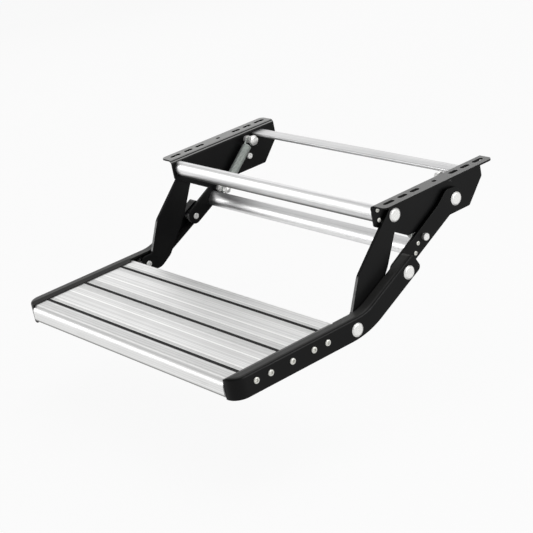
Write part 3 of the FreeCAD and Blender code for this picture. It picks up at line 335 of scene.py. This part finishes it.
class Tree:
    """A geometry node tree with named inputs, run once on a mesh and turned into a plain mesh."""

    def __init__(self, name, inputs):
        self.group = bpy.data.node_groups.new(name, "GeometryNodeTree")
        face = self.group.interface
        face.new_socket("Geometry", in_out="INPUT", socket_type="NodeSocketGeometry")
        self.sockets = {
            label: face.new_socket(label, in_out="INPUT", socket_type=kind) for label, kind in inputs
        }
        face.new_socket("Geometry", in_out="OUTPUT", socket_type="NodeSocketGeometry")
        self.given = self.group.nodes.new("NodeGroupInput").outputs
        self.out = self.group.nodes.new("NodeGroupOutput").inputs

    def add(self, kind, settings=None, sockets=None, output=0):
        made = self.group.nodes.new(kind)
        for key, value in (settings or {}).items():
            setattr(made, key, value)
        for key, value in (sockets or {}).items():
            if isinstance(value, bpy.types.NodeSocket):
                self.group.links.new(value, made.inputs[key])
            elif isinstance(value, list):
                for item in value:
                    self.group.links.new(item, made.inputs[key])
            else:
                made.inputs[key].default_value = value
        return made.outputs[output]

    def maths(self, operation, first, second):
        return self.add("ShaderNodeMath", {"operation": operation}, {0: first, 1: second})

    def close(self, geometry):
        real = self.add("GeometryNodeRealizeInstances", sockets={0: geometry})
        dressed = self.add("GeometryNodeSetMaterial", sockets={
            "Geometry": real, "Material": self.given["Finish"],
        })
        self.group.links.new(dressed, self.out[0])

    def run(self, name, start_mesh, **values):
        """Plain mesh that the tree makes from start_mesh with these inputs."""
        holder = link_object(name + "_maker", start_mesh)
        modifier = holder.modifiers.new(name, "NODES")
        modifier.node_group = self.group
        for label, value in values.items():
            modifier[self.sockets[label.replace("_", " ")].identifier] = value
        made = modified(holder)
        made.name = name
        holder.modifiers.remove(modifier)
        bpy.data.objects.remove(holder)
        return made


coil = Tree("close_coiled_spring", [
    ("Wire", "NodeSocketFloat"), ("Outer Radius", "NodeSocketFloat"), ("Coil Length", "NodeSocketFloat"),
    ("Start", "NodeSocketFloat"), ("Turns", "NodeSocketFloat"), ("Finish", "NodeSocketMaterial"),
])
given = coil.given
wire_radius = coil.maths("MULTIPLY", given["Wire"], 0.5)
mean_radius = coil.maths("SUBTRACT", given["Outer Radius"], wire_radius)
helix = coil.add("GeometryNodeCurveSpiral", sockets={
    "Resolution": TURN_STEPS, "Rotations": given["Turns"], "Start Radius": mean_radius,
    "End Radius": mean_radius, "Height": given["Coil Length"],
})
raised = coil.add("ShaderNodeCombineXYZ", sockets={"Z": given["Start"]})
helix = coil.add("GeometryNodeTransform", sockets={"Geometry": helix, "Translation": raised})
round_wire = coil.add("GeometryNodeCurvePrimitiveCircle", sockets={
    "Resolution": WIRE_SIDES, "Radius": wire_radius,
})
wound = coil.add("GeometryNodeCurveToMesh", sockets={
    "Curve": helix, "Profile Curve": round_wire, "Fill Caps": True,
})
coil.close(coil.add("GeometryNodeSetShadeSmooth", sockets={"Geometry": wound}))


def bent_wire(name, points, finish):
    """Round wire through points, with closed ends."""
    curve = bpy.data.curves.new(name, "CURVE")
    curve.dimensions = "3D"
    curve.bevel_depth = SPRING_WIRE / 2
    curve.bevel_resolution = 2
    curve.use_fill_caps = True
    line = curve.splines.new("POLY")
    line.points.add(len(points) - 1)
    for spot, point in zip(line.points, points):
        spot.co = (*point, 1.0)
    holder = link_object(name, curve)
    mesh = modified(holder)
    bpy.data.objects.remove(holder)
    mesh.materials.clear()
    mesh.materials.append(finish.material)
    mesh.shade_smooth()
    return mesh


def hook_over(radius, centre_z, away):
    """Arc in the XZ plane round a bolt, from +X over the far side."""
    angles = [math.radians(HOOK_TURN * step / HOOK_STEPS) for step in range(HOOK_STEPS + 1)]
    return [
        Vector((radius * math.cos(angle), 0.0, centre_z + away * radius * math.sin(angle)))
        for angle in angles
    ]


def joined_meshes(name, first, second):
    work = bmesh.new()
    work.from_mesh(first)
    work.from_mesh(second)
    mesh = mesh_of(work, name)
    mesh.materials.append(first.materials[0])
    return mesh


spring_zinc = zinc_finish("zinc_plated_spring", 0.42, 0.55, SPRING_PALE, SPRING_DULL)
rear_fold = next(joint for joint in frame["joints"] if joint["name"] == "rear_arm_fold")
rear_pivot = Vector(rear_fold["pos_m"])
rear_turn = Matrix.Rotation(math.radians(max(rear_fold["range_deg"], key=abs)), 3, "X")
coil_radius = SPRING_OUTER - SPRING_WIRE / 2
hook_radius = BOLT_RADIUS + SPRING_WIRE / 2 + HOOK_GAP
for name, sign in (("left", -1), ("right", 1)):
    upper = next(box for box in solids("upper_spring_nuts") if box[0].x * sign > 0)
    lower = next(box for box in solids("lower_spring_bolts") if box[0].x * sign > 0)
    low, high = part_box(f"spring_{name}")
    middle_x = (low.x + high.x) / 2
    start, end = (Vector((middle_x, *((box[0] + box[1]) / 2).yz)) for box in (upper, lower))
    length = (end - start).length
    coil_length = length - 2 * LEAD
    coils = coil.run(
        f"coils_{name}", bpy.data.meshes.new("seed"), Wire=SPRING_WIRE, Outer_Radius=SPRING_OUTER,
        Coil_Length=coil_length, Start=LEAD, Turns=round(coil_length / SPRING_WIRE * COIL_CLOSENESS),
        Finish=spring_zinc.material,
    )
    upper_path = [Vector((coil_radius, 0.0, LEAD))]
    upper_path += hook_over(coil_radius, coil_radius - hook_radius, -1)
    upper_hook = bent_wire(f"upper_hook_{name}", upper_path, spring_zinc)
    shank_x = coil_radius - SPRING_WIRE * 1.2
    lower_path = [Vector((shank_x, 0.0, length - LEAD - depth)) for depth in (SHANK_INSIDE, 0.0)]
    lower_path += hook_over(hook_radius, length, 1)
    lower_hook = bent_wire(f"lower_hook_{name}", lower_path, spring_zinc)
    spring = joined_meshes(f"coil_spring_{name}", coils, upper_hook)
    stance = Matrix.Translation(start) @ (end - start).to_track_quat("Z", "X").to_matrix().to_4x4()
    spring.transform(stance)
    lower_hook.transform(stance)
    link_piece(f"coil_spring_{name}", spring, "springs", f"spring_{name}")
    hook = link_piece(f"lower_hook_{name}", lower_hook, "springs", f"spring_{name}")
    folded_end = rear_turn @ (end - rear_pivot) + rear_pivot
    folded_end.x = middle_x
    drawn_out = (folded_end - start).length - length
    along = (end - start).normalized()
    end + along * drawn_out / DRAW_SHARE
    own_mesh(hook)

# Spring bolts and nuts: 8 mm zinc-plated bolts with rolled threads, their heads and nuts chamfered
# at 30 degrees. The upper bolts end flush in the brackets, coated over with them.
BOLT_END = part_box("upper_spring_bolts")[1].x
END_COAT = (BOLT_END ** 2 - 0.0003, BOLT_END ** 2 - 0.0001)
THREAD_PITCH = 0.00125
THREAD_FORM = ((0.3, 1.0), (0.5, 1.0), (0.9, 0.86))
TIP_SHARE = 0.82
THREAD_SIDES = 24
LOWER_HEAD_SIDES = 36
HEX_SIDES = 48
FLAT_TURN = math.radians(60)
CHAMFER = math.radians(30)
LEAST_CHAMFER = 0.0003
END_FACE_SHARE = 0.94
BLIND_SHARE = 0.2
NUT_BORE = BOLT_RADIUS + 0.00005
UPPER_HEAD_ACROSS, UPPER_HEAD_HEIGHT, LOWER_HEAD_HEIGHT = 0.017, 0.008, 0.006
SHARP = math.radians(32)
bolt_zinc = zinc_finish("zinc_plated_bolts", 0.22, 0.36)
upper_zinc = zinc_finish("zinc_plated_bolts_coated_ends", 0.22, 0.36)
across = upper_zinc.place.axis("X")
coated_end = (across * across).spread(*END_COAT)
mottle = upper_zinc.place.noise(240.0, detail=3.0).spread(0.3, 0.7).mix(ZINC_PALE, ZINC_DULL)
upper_zinc.link("Base Color", coated_end.mix(mottle, COAT_BLACK))
upper_zinc.link("Metallic", coated_end.spread(0.0, 1.0, ZINC_METAL, 0.0))


def along_x(box):
    """Side, middle line, and inner and outer distance of a solid that lies along X."""
    low, high = box
    inner, outer = sorted((abs(low.x), abs(high.x)))
    middle = Vector((0.0, (low.y + high.y) / 2, (low.z + high.z) / 2))
    return (1 if low.x > 0 else -1), middle, inner, outer


def around(place, along, radius, angle):
    """Point at a radius round the X axis through place."""
    return place + Vector((along, radius * math.cos(angle), radius * math.sin(angle)))


def lathe(work, profile, segments, place, direction):
    """Skin of (distance along, radius) turned about the X axis through place."""
    angles = [2 * math.pi * index / segments for index in range(segments)]
    rings = [
        [work.verts.new(around(place, direction * along, radius, angle)) for angle in angles]
        if radius else [work.verts.new(around(place, direction * along, 0.0, 0.0))]
        for along, radius in profile
    ]
    for first, second in zip(rings, rings[1:]):
        for index in range(segments):
            after = (index + 1) % segments
            corners = [
                first[index % len(first)], first[after % len(first)],
                second[after % len(second)], second[index % len(second)],
            ]
            unique = list(dict.fromkeys(corners))
            if len(unique) > 2:
                work.faces.new(unique)


def hexagon(work, near, far, across, bore, place, direction):
    """Hexagon head or nut between two distances along X, with its corners turned off at both ends."""
    flat = across / 2
    inside = bore or flat * BLIND_SHARE
    face = flat * END_FACE_SHARE
    angles = [2 * math.pi * index / HEX_SIDES for index in range(HEX_SIDES)]
    reach = [flat / math.cos((angle % FLAT_TURN) - FLAT_TURN / 2) for angle in angles]
    cut = [max(0.0, radius - flat) * math.tan(CHAMFER) + LEAST_CHAMFER for radius in reach]

    def ring(alongs, radii):
        return [
            work.verts.new(around(place, direction * along, radius, angle))
            for along, radius, angle in zip(alongs, radii, angles)
        ]

    def round_ring(along, radius):
        return ring([along] * HEX_SIDES, [radius] * HEX_SIDES)

    rings = [
        round_ring(near, inside), round_ring(near, face), ring([near + drop for drop in cut], reach),
        ring([far - drop for drop in cut], reach), round_ring(far, face), round_ring(far, inside),
    ]
    if bore:
        rings.append(rings[0])
    for first, second in zip(rings, rings[1:]):
        for index in range(HEX_SIDES):
            after = (index + 1) % HEX_SIDES
            work.faces.new((first[index], first[after], second[after], second[index]))
    if not bore:
        work.faces.new(rings[0])
        work.faces.new(rings[-1])


def thread(length, radius):
    """Profile of a rolled thread, from its chamfered tip to where it ends."""
    return [(0.0, 0.0), (0.0, radius * TIP_SHARE)] + [
        ((turn + share) * THREAD_PITCH, radius * width)
        for turn in range(int(length / THREAD_PITCH)) for share, width in THREAD_FORM
    ]


def shaded(mesh):
    """Smooth, but for the edges between flats."""
    mesh.shade_smooth()
    mesh.set_sharp_from_angle(angle=SHARP)
    return mesh


def finish_mesh(work, name, finish):
    """Turn the faces outward, shade by angle and set the finish."""
    bmesh.ops.recalc_face_normals(work, faces=work.faces)
    mesh = mesh_of(work, name)
    mesh.materials.append(finish.material)
    return shaded(mesh)


uppers = bmesh.new()
for box in solids("upper_spring_bolts"):
    side, middle, inner, outer = along_x(box)
    seat = inner + UPPER_HEAD_HEIGHT
    hexagon(uppers, inner, seat, UPPER_HEAD_ACROSS, 0.0, middle, side)
    profile = [(outer - along, radius) for along, radius in thread(outer - seat, BOLT_RADIUS)]
    lathe(uppers, profile, THREAD_SIDES, middle, side)
lowers = bmesh.new()
for box in solids("lower_spring_bolts"):
    side, middle, inner, outer = along_x(box)
    head_radius = (box[1].z - box[0].z) / 2
    shank = outer - LOWER_HEAD_HEIGHT
    profile = [(inner + along, radius) for along, radius in thread(shank - inner, BOLT_RADIUS)]
    profile += [
        (shank, BOLT_RADIUS), (shank, head_radius * 0.98), (shank + 0.0004, head_radius),
        (outer - 0.0009, head_radius), (outer, head_radius - 0.0012), (outer, 0.0),
    ]
    lathe(lowers, profile, LOWER_HEAD_SIDES, middle, side)
for work, name, body, finish in (
    (uppers, "upper_spring_bolts", "frame", upper_zinc),
    (lowers, "lower_spring_bolts", "rear_arms", bolt_zinc),
):
    link_piece(f"{name}_threaded", finish_mesh(work, f"{name}_threaded", finish), body, name)
for name, body in (("upper_spring_nuts", "frame"), ("lower_spring_nuts", "rear_arms")):
    work = bmesh.new()
    for box in solids(name):
        side, middle, inner, outer = along_x(box)
        hexagon(work, inner, outer, box[1].y - box[0].y, NUT_BORE, middle, side)
    link_piece(f"{name}_chamfered", finish_mesh(work, f"{name}_chamfered", bolt_zinc), body, name)

# Pan-head screws: zinc-plated, self-cutting, with a cross recess. They hold the cross tubes, the
# rear bar and the rails, and each is turned home to its own angle.
SCREW_PALE = (0.78, 0.775, 0.73, 1.0)
SCREW_DULL = (0.66, 0.66, 0.62, 1.0)
SCREW_PITCH = 0.0012
SCREW_SIDES = 32
HEAD_ARC_STEPS = 6
RECESS_LENGTH, RECESS_WIDTH, RECESS_DEPTH = 0.56, 0.2, 0.8
RECESS_TAPER = 0.45
TUBE_SCREW = (0.0015, 0.002)
RAIL_SCREW = (0.0024, 0.0022)
screw_zinc = zinc_finish("zinc_plated_screws", 0.3, 0.44, SCREW_PALE, SCREW_DULL)
scatter = Tree("screws_on_points", [
    ("Screw", "NodeSocketObject"), ("Seed", "NodeSocketInt"), ("Finish", "NodeSocketMaterial"),
])
given = scatter.given
piece = scatter.add("GeometryNodeObjectInfo", sockets={
    "Object": given["Screw"], "As Instance": True,
}, output=4)
side = scatter.add("ShaderNodeSeparateXYZ", sockets={"Vector": scatter.add("GeometryNodeInputPosition")})
turned_left = scatter.add("FunctionNodeCompare", {"operation": "LESS_THAN"}, {"A": side, "B": 0.0})
facing = scatter.add("GeometryNodeSwitch", {"input_type": "VECTOR"}, {
    "Switch": turned_left, "False": (0.0, 0.0, 0.0), "True": (0.0, 0.0, math.pi),
})
spin = scatter.add("FunctionNodeRandomValue", {"data_type": "FLOAT"}, {
    2: 0.0, 3: math.tau, "Seed": given["Seed"],
}, output=1)
spun = scatter.add("ShaderNodeCombineXYZ", sockets={"X": spin})
placed = scatter.add("GeometryNodeInstanceOnPoints", sockets={
    "Points": given["Geometry"], "Instance": piece, "Rotation": facing,
})
placed = scatter.add("GeometryNodeRotateInstances", sockets={"Instances": placed, "Rotation": spun})
scatter.close(placed)


def pan_screw(head_radius, head_height, shank_radius, length):
    """Screw along X with its seat at the origin and its head outward, recessed with a cross."""
    profile = [(-length, 0.0), (-length, shank_radius * 0.4), (-length + 0.0012, shank_radius * 0.9)]
    for turn in range(1, int((length - 0.002) / SCREW_PITCH)):
        profile += [
            (-length + 0.001 + (turn + 0.3) * SCREW_PITCH, shank_radius * 0.8),
            (-length + 0.001 + (turn + 0.8) * SCREW_PITCH, shank_radius),
        ]
    profile += [(-0.0004, shank_radius * 0.9), (0.0, shank_radius * 0.9), (0.0, head_radius * 0.97)]
    for step in range(HEAD_ARC_STEPS + 1):
        angle = math.radians(90 * step / HEAD_ARC_STEPS)
        profile.append((
            head_height * 0.25 + head_height * 0.7 * math.sin(angle),
            head_radius - head_height * 0.8 * (1 - math.cos(angle)),
        ))
    profile += [(head_height, head_radius * 0.3), (head_height, 0.0)]
    work = bmesh.new()
    lathe(work, profile, SCREW_SIDES, Vector((0.0, 0.0, 0.0)), 1)
    bmesh.ops.recalc_face_normals(work, faces=work.faces)
    body = link_object("pan_screw", mesh_of(work, "pan_screw"))
    long_half, short_half = head_radius * RECESS_LENGTH, head_radius * RECESS_WIDTH
    work = bmesh.new()
    for y_half, z_half, along_y in ((short_half, long_half, False), (long_half, short_half, True)):
        corners = []
        for depth, taper in (
            (head_height * 1.2, 1.0), (head_height - head_height * RECESS_DEPTH, RECESS_TAPER),
        ):
            y = y_half * (taper if along_y else 1.0)
            z = z_half * (1.0 if along_y else taper)
            for y_sign, z_sign in ((-1, -1), (1, -1), (1, 1), (-1, 1)):
                corners.append(work.verts.new((depth, y_sign * y, z_sign * z)))
        top, low = corners[:4], corners[4:]
        work.faces.new(top)
        work.faces.new(low[::-1])
        for index in range(4):
            after = (index + 1) % 4
            work.faces.new((top[index], low[index], low[after], top[after]))
    bmesh.ops.recalc_face_normals(work, faces=work.faces)
    cutter = link_object("cross_recess", mesh_of(work, "cross_recess"))
    cut = body.modifiers.new("recess", "BOOLEAN")
    cut.object = cutter
    cut.solver = "EXACT"
    cut.use_self = True
    made = shaded(modified(body))
    bpy.data.objects.remove(body)
    bpy.data.objects.remove(cutter)
    return link_object("pan_screw", made)


screw_groups = (
    ("front_tube_screws", "frame", *TUBE_SCREW), ("rear_bar_screws", "frame", *TUBE_SCREW),
    ("lower_tube_screws", "rear_arms", *TUBE_SCREW), ("rail_screws_left", "tread", *RAIL_SCREW),
    ("rail_screws_right", "tread", *RAIL_SCREW),
)
for seed, (name, body, head_height, shank_radius) in enumerate(screw_groups):
    boxes = solids(name)
    low, high = boxes[0]
    screw = pan_screw((high.y - low.y) / 2, head_height, shank_radius, high.x - low.x - head_height)
    places = []
    for box in boxes:
        side, middle, inner, outer = along_x(box)
        places.append(middle + Vector((side * (outer - head_height), 0.0, 0.0)))
    seats = bpy.data.meshes.new(f"{name}_seats")
    seats.from_pydata(places, [], [])
    headed = f"{name}_cross_headed"
    mesh = scatter.run(headed, seats, Screw=screw, Seed=seed, Finish=screw_zinc.material)
    bpy.data.objects.remove(screw)
    link_piece(headed, mesh, body, name)

# Side rails: deep-drawn steel channels, black like the brackets, that cap the tread's ends. Their
# rounded top rim is a little paler than the web: a painted sheen on its upward faces.
RIM_SHEEN = (0.05, 0.05, 0.049, 1.0)
RIM_FACING_UP = (0.6, 0.98)
rail_coat, cloud = black_coat("satin_black_coat_rails", 0.34, 9.0, 800.0)
grit = rail_coat.place.noise(420.0, (0.4, 1.0, 1.0), 3.0).spread(0.55, 0.75)
rubbed = rail_coat.worn_edge(0.0015) * rail_coat.place.noise(160.0, detail=3.0).spread(0.48, 0.6)
skin = (cloud.spread(*CLOUDY) * 0.7 + grit * 0.3).mix(COAT_BLACK, COAT_DUSTY)
# Painted sheen on the upward faces of the rim.
sheen_on_tops = rail_coat.facing("Z", *RIM_FACING_UP) * cloud.spread(0.1, 0.9, 0.7, 1.0)
rail_coat.link("Base Color", sheen_on_tops.mix((rubbed * 0.4).mix(skin, RUBBED), RIM_SHEEN))
rail_coat.link("Roughness", cloud.spread(0.3, 0.75, 0.3, 0.4) + grit * 0.05)
rail_coat.dress("tread_rail_left", "tread_rail_right")

# Tread: one aluminium extrusion, grooved for grip, with its ends cut square and closed by the rails.
# Thin pale lines at the flat bands' borders are painted highlights, the nose's underside is darkened
# with painted shade, and the stepping side is a little scuffed.
TREAD_PALE = (0.90, 0.90, 0.895, 1.0)
TREAD_DULL = (0.66, 0.66, 0.655, 1.0)
TREAD_HIGHLIGHT = (1.0, 1.0, 0.99, 1.0)
HIGHLIGHT_LINES_Y = (-0.4595, -0.4230, -0.3900, -0.3360, -0.3160, -0.2645)
LINE_HALF = 0.0008
NOSE_UNDERSIDE = (-0.4, -0.02)
tread = Finish("tread_aluminium", TREAD_PALE[:3], 0.42, 1.0)
streaks = tread.place.noise(620.0, (0.001, 1.0, 1.0), 1.0)
bloom = tread.place.noise(16.0, (0.7, 1.0, 1.0), 3.0)
die_lines = tread.place.noise(1700.0, (0.003, 1.0, 1.0), 2.0)
grain = tread.place.noise(900.0, detail=2.0)
scuff = tread.place.noise(120.0, (0.25, 1.0, 1.0), 5.0).spread(0.6, 0.75)
tone = streaks.spread(0.3, 0.7) * 0.75 + bloom.spread(0.3, 0.7) * 0.1 + scuff * 0.15
along_y = tread.place.axis("Y")
# Painted highlights: thin pale lines along the tread.
painted_highlights = None
for line_y in HIGHLIGHT_LINES_Y:
    offset = along_y - line_y
    line = offset.maths("ABSOLUTE", offset, 0.0).spread(LINE_HALF, 3 * LINE_HALF, 1.0, 0.0)
    painted_highlights = line if painted_highlights is None else painted_highlights.maths("MAXIMUM", painted_highlights, line)
# Painted shade under the nose.
painted_underside_shade = 1.0 - tread.facing("Z", *NOSE_UNDERSIDE)
skin = painted_highlights.mix(tone.mix(TREAD_PALE, TREAD_DULL), TREAD_HIGHLIGHT)
tread.link("Base Color", painted_underside_shade.mix(skin, UNDERSIDE_SHADE))
tread.link("Roughness", tone.spread(0.0, 1.0, 0.4, 0.5))
tread.link("Normal", (die_lines * 0.7 + grain * 0.3).bump(0.14, 0.0002))
tread.dress("tread_panel")

# Anti-slip strips: three black rubber cords that lie in the tread's grooves from rail to rail.
# They are matt and faintly dusty.
RUBBER_BLACK = (0.012, 0.012, 0.012, 1.0)
RUBBER_DUSTY = (0.03, 0.03, 0.029, 1.0)
rubber = Finish("strip_rubber", RUBBER_BLACK[:3], 0.8, Specular_IOR_Level=0.3)
dust = rubber.place.noise(70.0, (0.3, 1.0, 1.0), 4.0)
grain = rubber.place.noise(1100.0, detail=2.0)
rubber.link("Base Color", dust.spread(0.45, 0.75).mix(RUBBER_BLACK, RUBBER_DUSTY))
rubber.link("Roughness", dust.spread(0.3, 0.7, 0.72, 0.88))
rubber.link("Normal", grain.bump(0.25, 0.0003))
rubber.dress("anti_slip_strip_front", "anti_slip_strip_middle", "anti_slip_strip_rear")

# Floor: plain and pale, white to the camera with the step's faint shadow. What the metal mirrors of
# it is greyer under the step than in front of it or far behind it: a painted shade.
FLOOR_DROP = 0.16
FLOOR_REACH = 30.0
FLOOR_LIT = 0.92
MIRRORED_SHADE, MIRRORED_BRIGHT = 0.12, 0.97
floor_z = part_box("tread_panel")[0].z - FLOOR_DROP
corners = ((-1, -1), (1, -1), (1, 1), (-1, 1))
floor_mesh = bpy.data.meshes.new("floor")
places = [(x * FLOOR_REACH, y * FLOOR_REACH, floor_z) for x, y in corners]
floor_mesh.from_pydata(places, [], [(0, 1, 2, 3)])
floor = link_object("floor", floor_mesh)
floor_finish = Finish("pale_floor", (0.35, 0.35, 0.35), 0.9, Specular_IOR_Level=0.0)
tree = floor_finish.material.node_tree
rays = tree.nodes.new("ShaderNodeLightPath").outputs
to_camera, to_gloss = Term(tree, rays["Is Camera Ray"]), Term(tree, rays["Is Glossy Ray"])
white, shade_mirrored, bright = (
    to_camera.node("ShaderNodeEmission", sockets={"Color": (tone, tone, tone, 1.0), "Strength": 1.0})
    for tone in (1.0, MIRRORED_SHADE, MIRRORED_BRIGHT)
)
pale = to_camera.node("ShaderNodeBsdfDiffuse", sockets={"Color": (0.85, 0.85, 0.85, 1.0)})
across, along = floor_finish.place.axis("X"), floor_finish.place.axis("Y")
# Painted shade in what the metal mirrors, where the floor under the step would be in shadow.
away = along.spread(-0.35, 0.05) * (1.0 - across.spread(0.3, 0.6))
away = away * (1.0 - along.spread(0.6, 1.0))
seen_floor = to_camera.node("ShaderNodeMixShader", sockets={0: FLOOR_LIT, 1: pale, 2: white})
mirrored = to_camera.node("ShaderNodeMixShader", sockets={0: away, 1: bright, 2: shade_mirrored})
plain = Term(tree, floor_finish.shader.outputs[0])
plain = to_camera.node("ShaderNodeMixShader", sockets={0: to_gloss, 1: plain, 2: mirrored})
shown = to_camera.node("ShaderNodeMixShader", sockets={0: to_camera, 1: plain, 2: seen_floor})
tree.links.new(shown.socket, tree.nodes["Material Output"].inputs["Surface"])
floor_mesh.materials.append(floor_finish.material)

# Lights: the room is a pale tent to the metal and dim to the paint. A wide soft box stands low behind
# the step, a key low at the front left lights the nose and the tubes, and a gentle one hangs overhead.
ROOM, TENT, BACKDROP = 0.3, 0.56, 1.0
AIM = Vector((0.0, -0.2, -0.1))
world = bpy.data.worlds.new("studio")
bpy.context.scene.world = world
world.use_nodes = True
tree = world.node_tree
rays = tree.nodes.new("ShaderNodeLightPath").outputs
to_camera, to_gloss = Term(tree, rays["Is Camera Ray"]), Term(tree, rays["Is Glossy Ray"])
room, tent, backdrop = (
    to_camera.node("ShaderNodeBackground", sockets={"Color": (1.0, 1.0, 1.0, 1.0), "Strength": strength})
    for strength in (ROOM, TENT, BACKDROP)
)
unseen = to_camera.node("ShaderNodeMixShader", sockets={0: to_gloss, 1: room, 2: tent})
shown = to_camera.node("ShaderNodeMixShader", sockets={0: to_camera, 1: unseen, 2: backdrop})
tree.links.new(shown.socket, tree.nodes["World Output"].inputs["Surface"])


def soft_box(name, place, width, height, watts):
    """Rectangular lamp aimed at the step, not itself in view."""
    lamp_data = bpy.data.lights.new(name, "AREA")
    lamp_data.shape = "RECTANGLE"
    lamp_data.size = width
    lamp_data.size_y = height
    lamp_data.energy = watts
    lamp = link_object(name, lamp_data)
    lamp.location = place
    lamp.rotation_euler = (AIM - Vector(place)).to_track_quat("-Z", "Y").to_euler()
    lamp.visible_camera = False


soft_box("soft_box_back", (-2.4, 1.5, 1.1), 3.4, 1.6, 11.0)
soft_box("soft_box_front_left", (-1.98, -1.83, 0.34), 1.5, 0.5, 12.5)
soft_box("soft_box_overhead", (0.3, 0.2, 2.4), 2.0, 2.0, 18.0)
soft_box("soft_box_right", (2.6, 0.9, 0.5), 1.6, 1.2, 34.0)
bpy.context.scene.view_settings.view_transform = "Standard"

# Camera: a long lens, to the right of the step and above it, looking down at its front.
# The frame is turned by about 11 degrees on the lens's axis.
AZIMUTH, ELEVATION, ROLL = 0.962974, 0.371831, -0.198481
LENS = 107.47
CAMERA_PLACE = Vector((2.1160, -1.62434, 0.85706))
level = math.cos(ELEVATION)
back = Vector((math.sin(AZIMUTH) * level, -math.cos(AZIMUTH) * level, math.sin(ELEVATION)))
right = (-back).cross(Vector((0.0, 0.0, 1.0))).normalized()
above = right.cross(-back)
rolled_right = math.cos(ROLL) * right + math.sin(ROLL) * above
rolled_above = -math.sin(ROLL) * right + math.cos(ROLL) * above
camera_data = bpy.data.cameras.new("camera")
camera_data.lens = LENS
camera = link_object("camera", camera_data)
turned = Matrix((rolled_right, rolled_above, back)).transposed().to_4x4()
camera.matrix_world = Matrix.Translation(CAMERA_PLACE) @ turned
bpy.context.scene.camera = camera
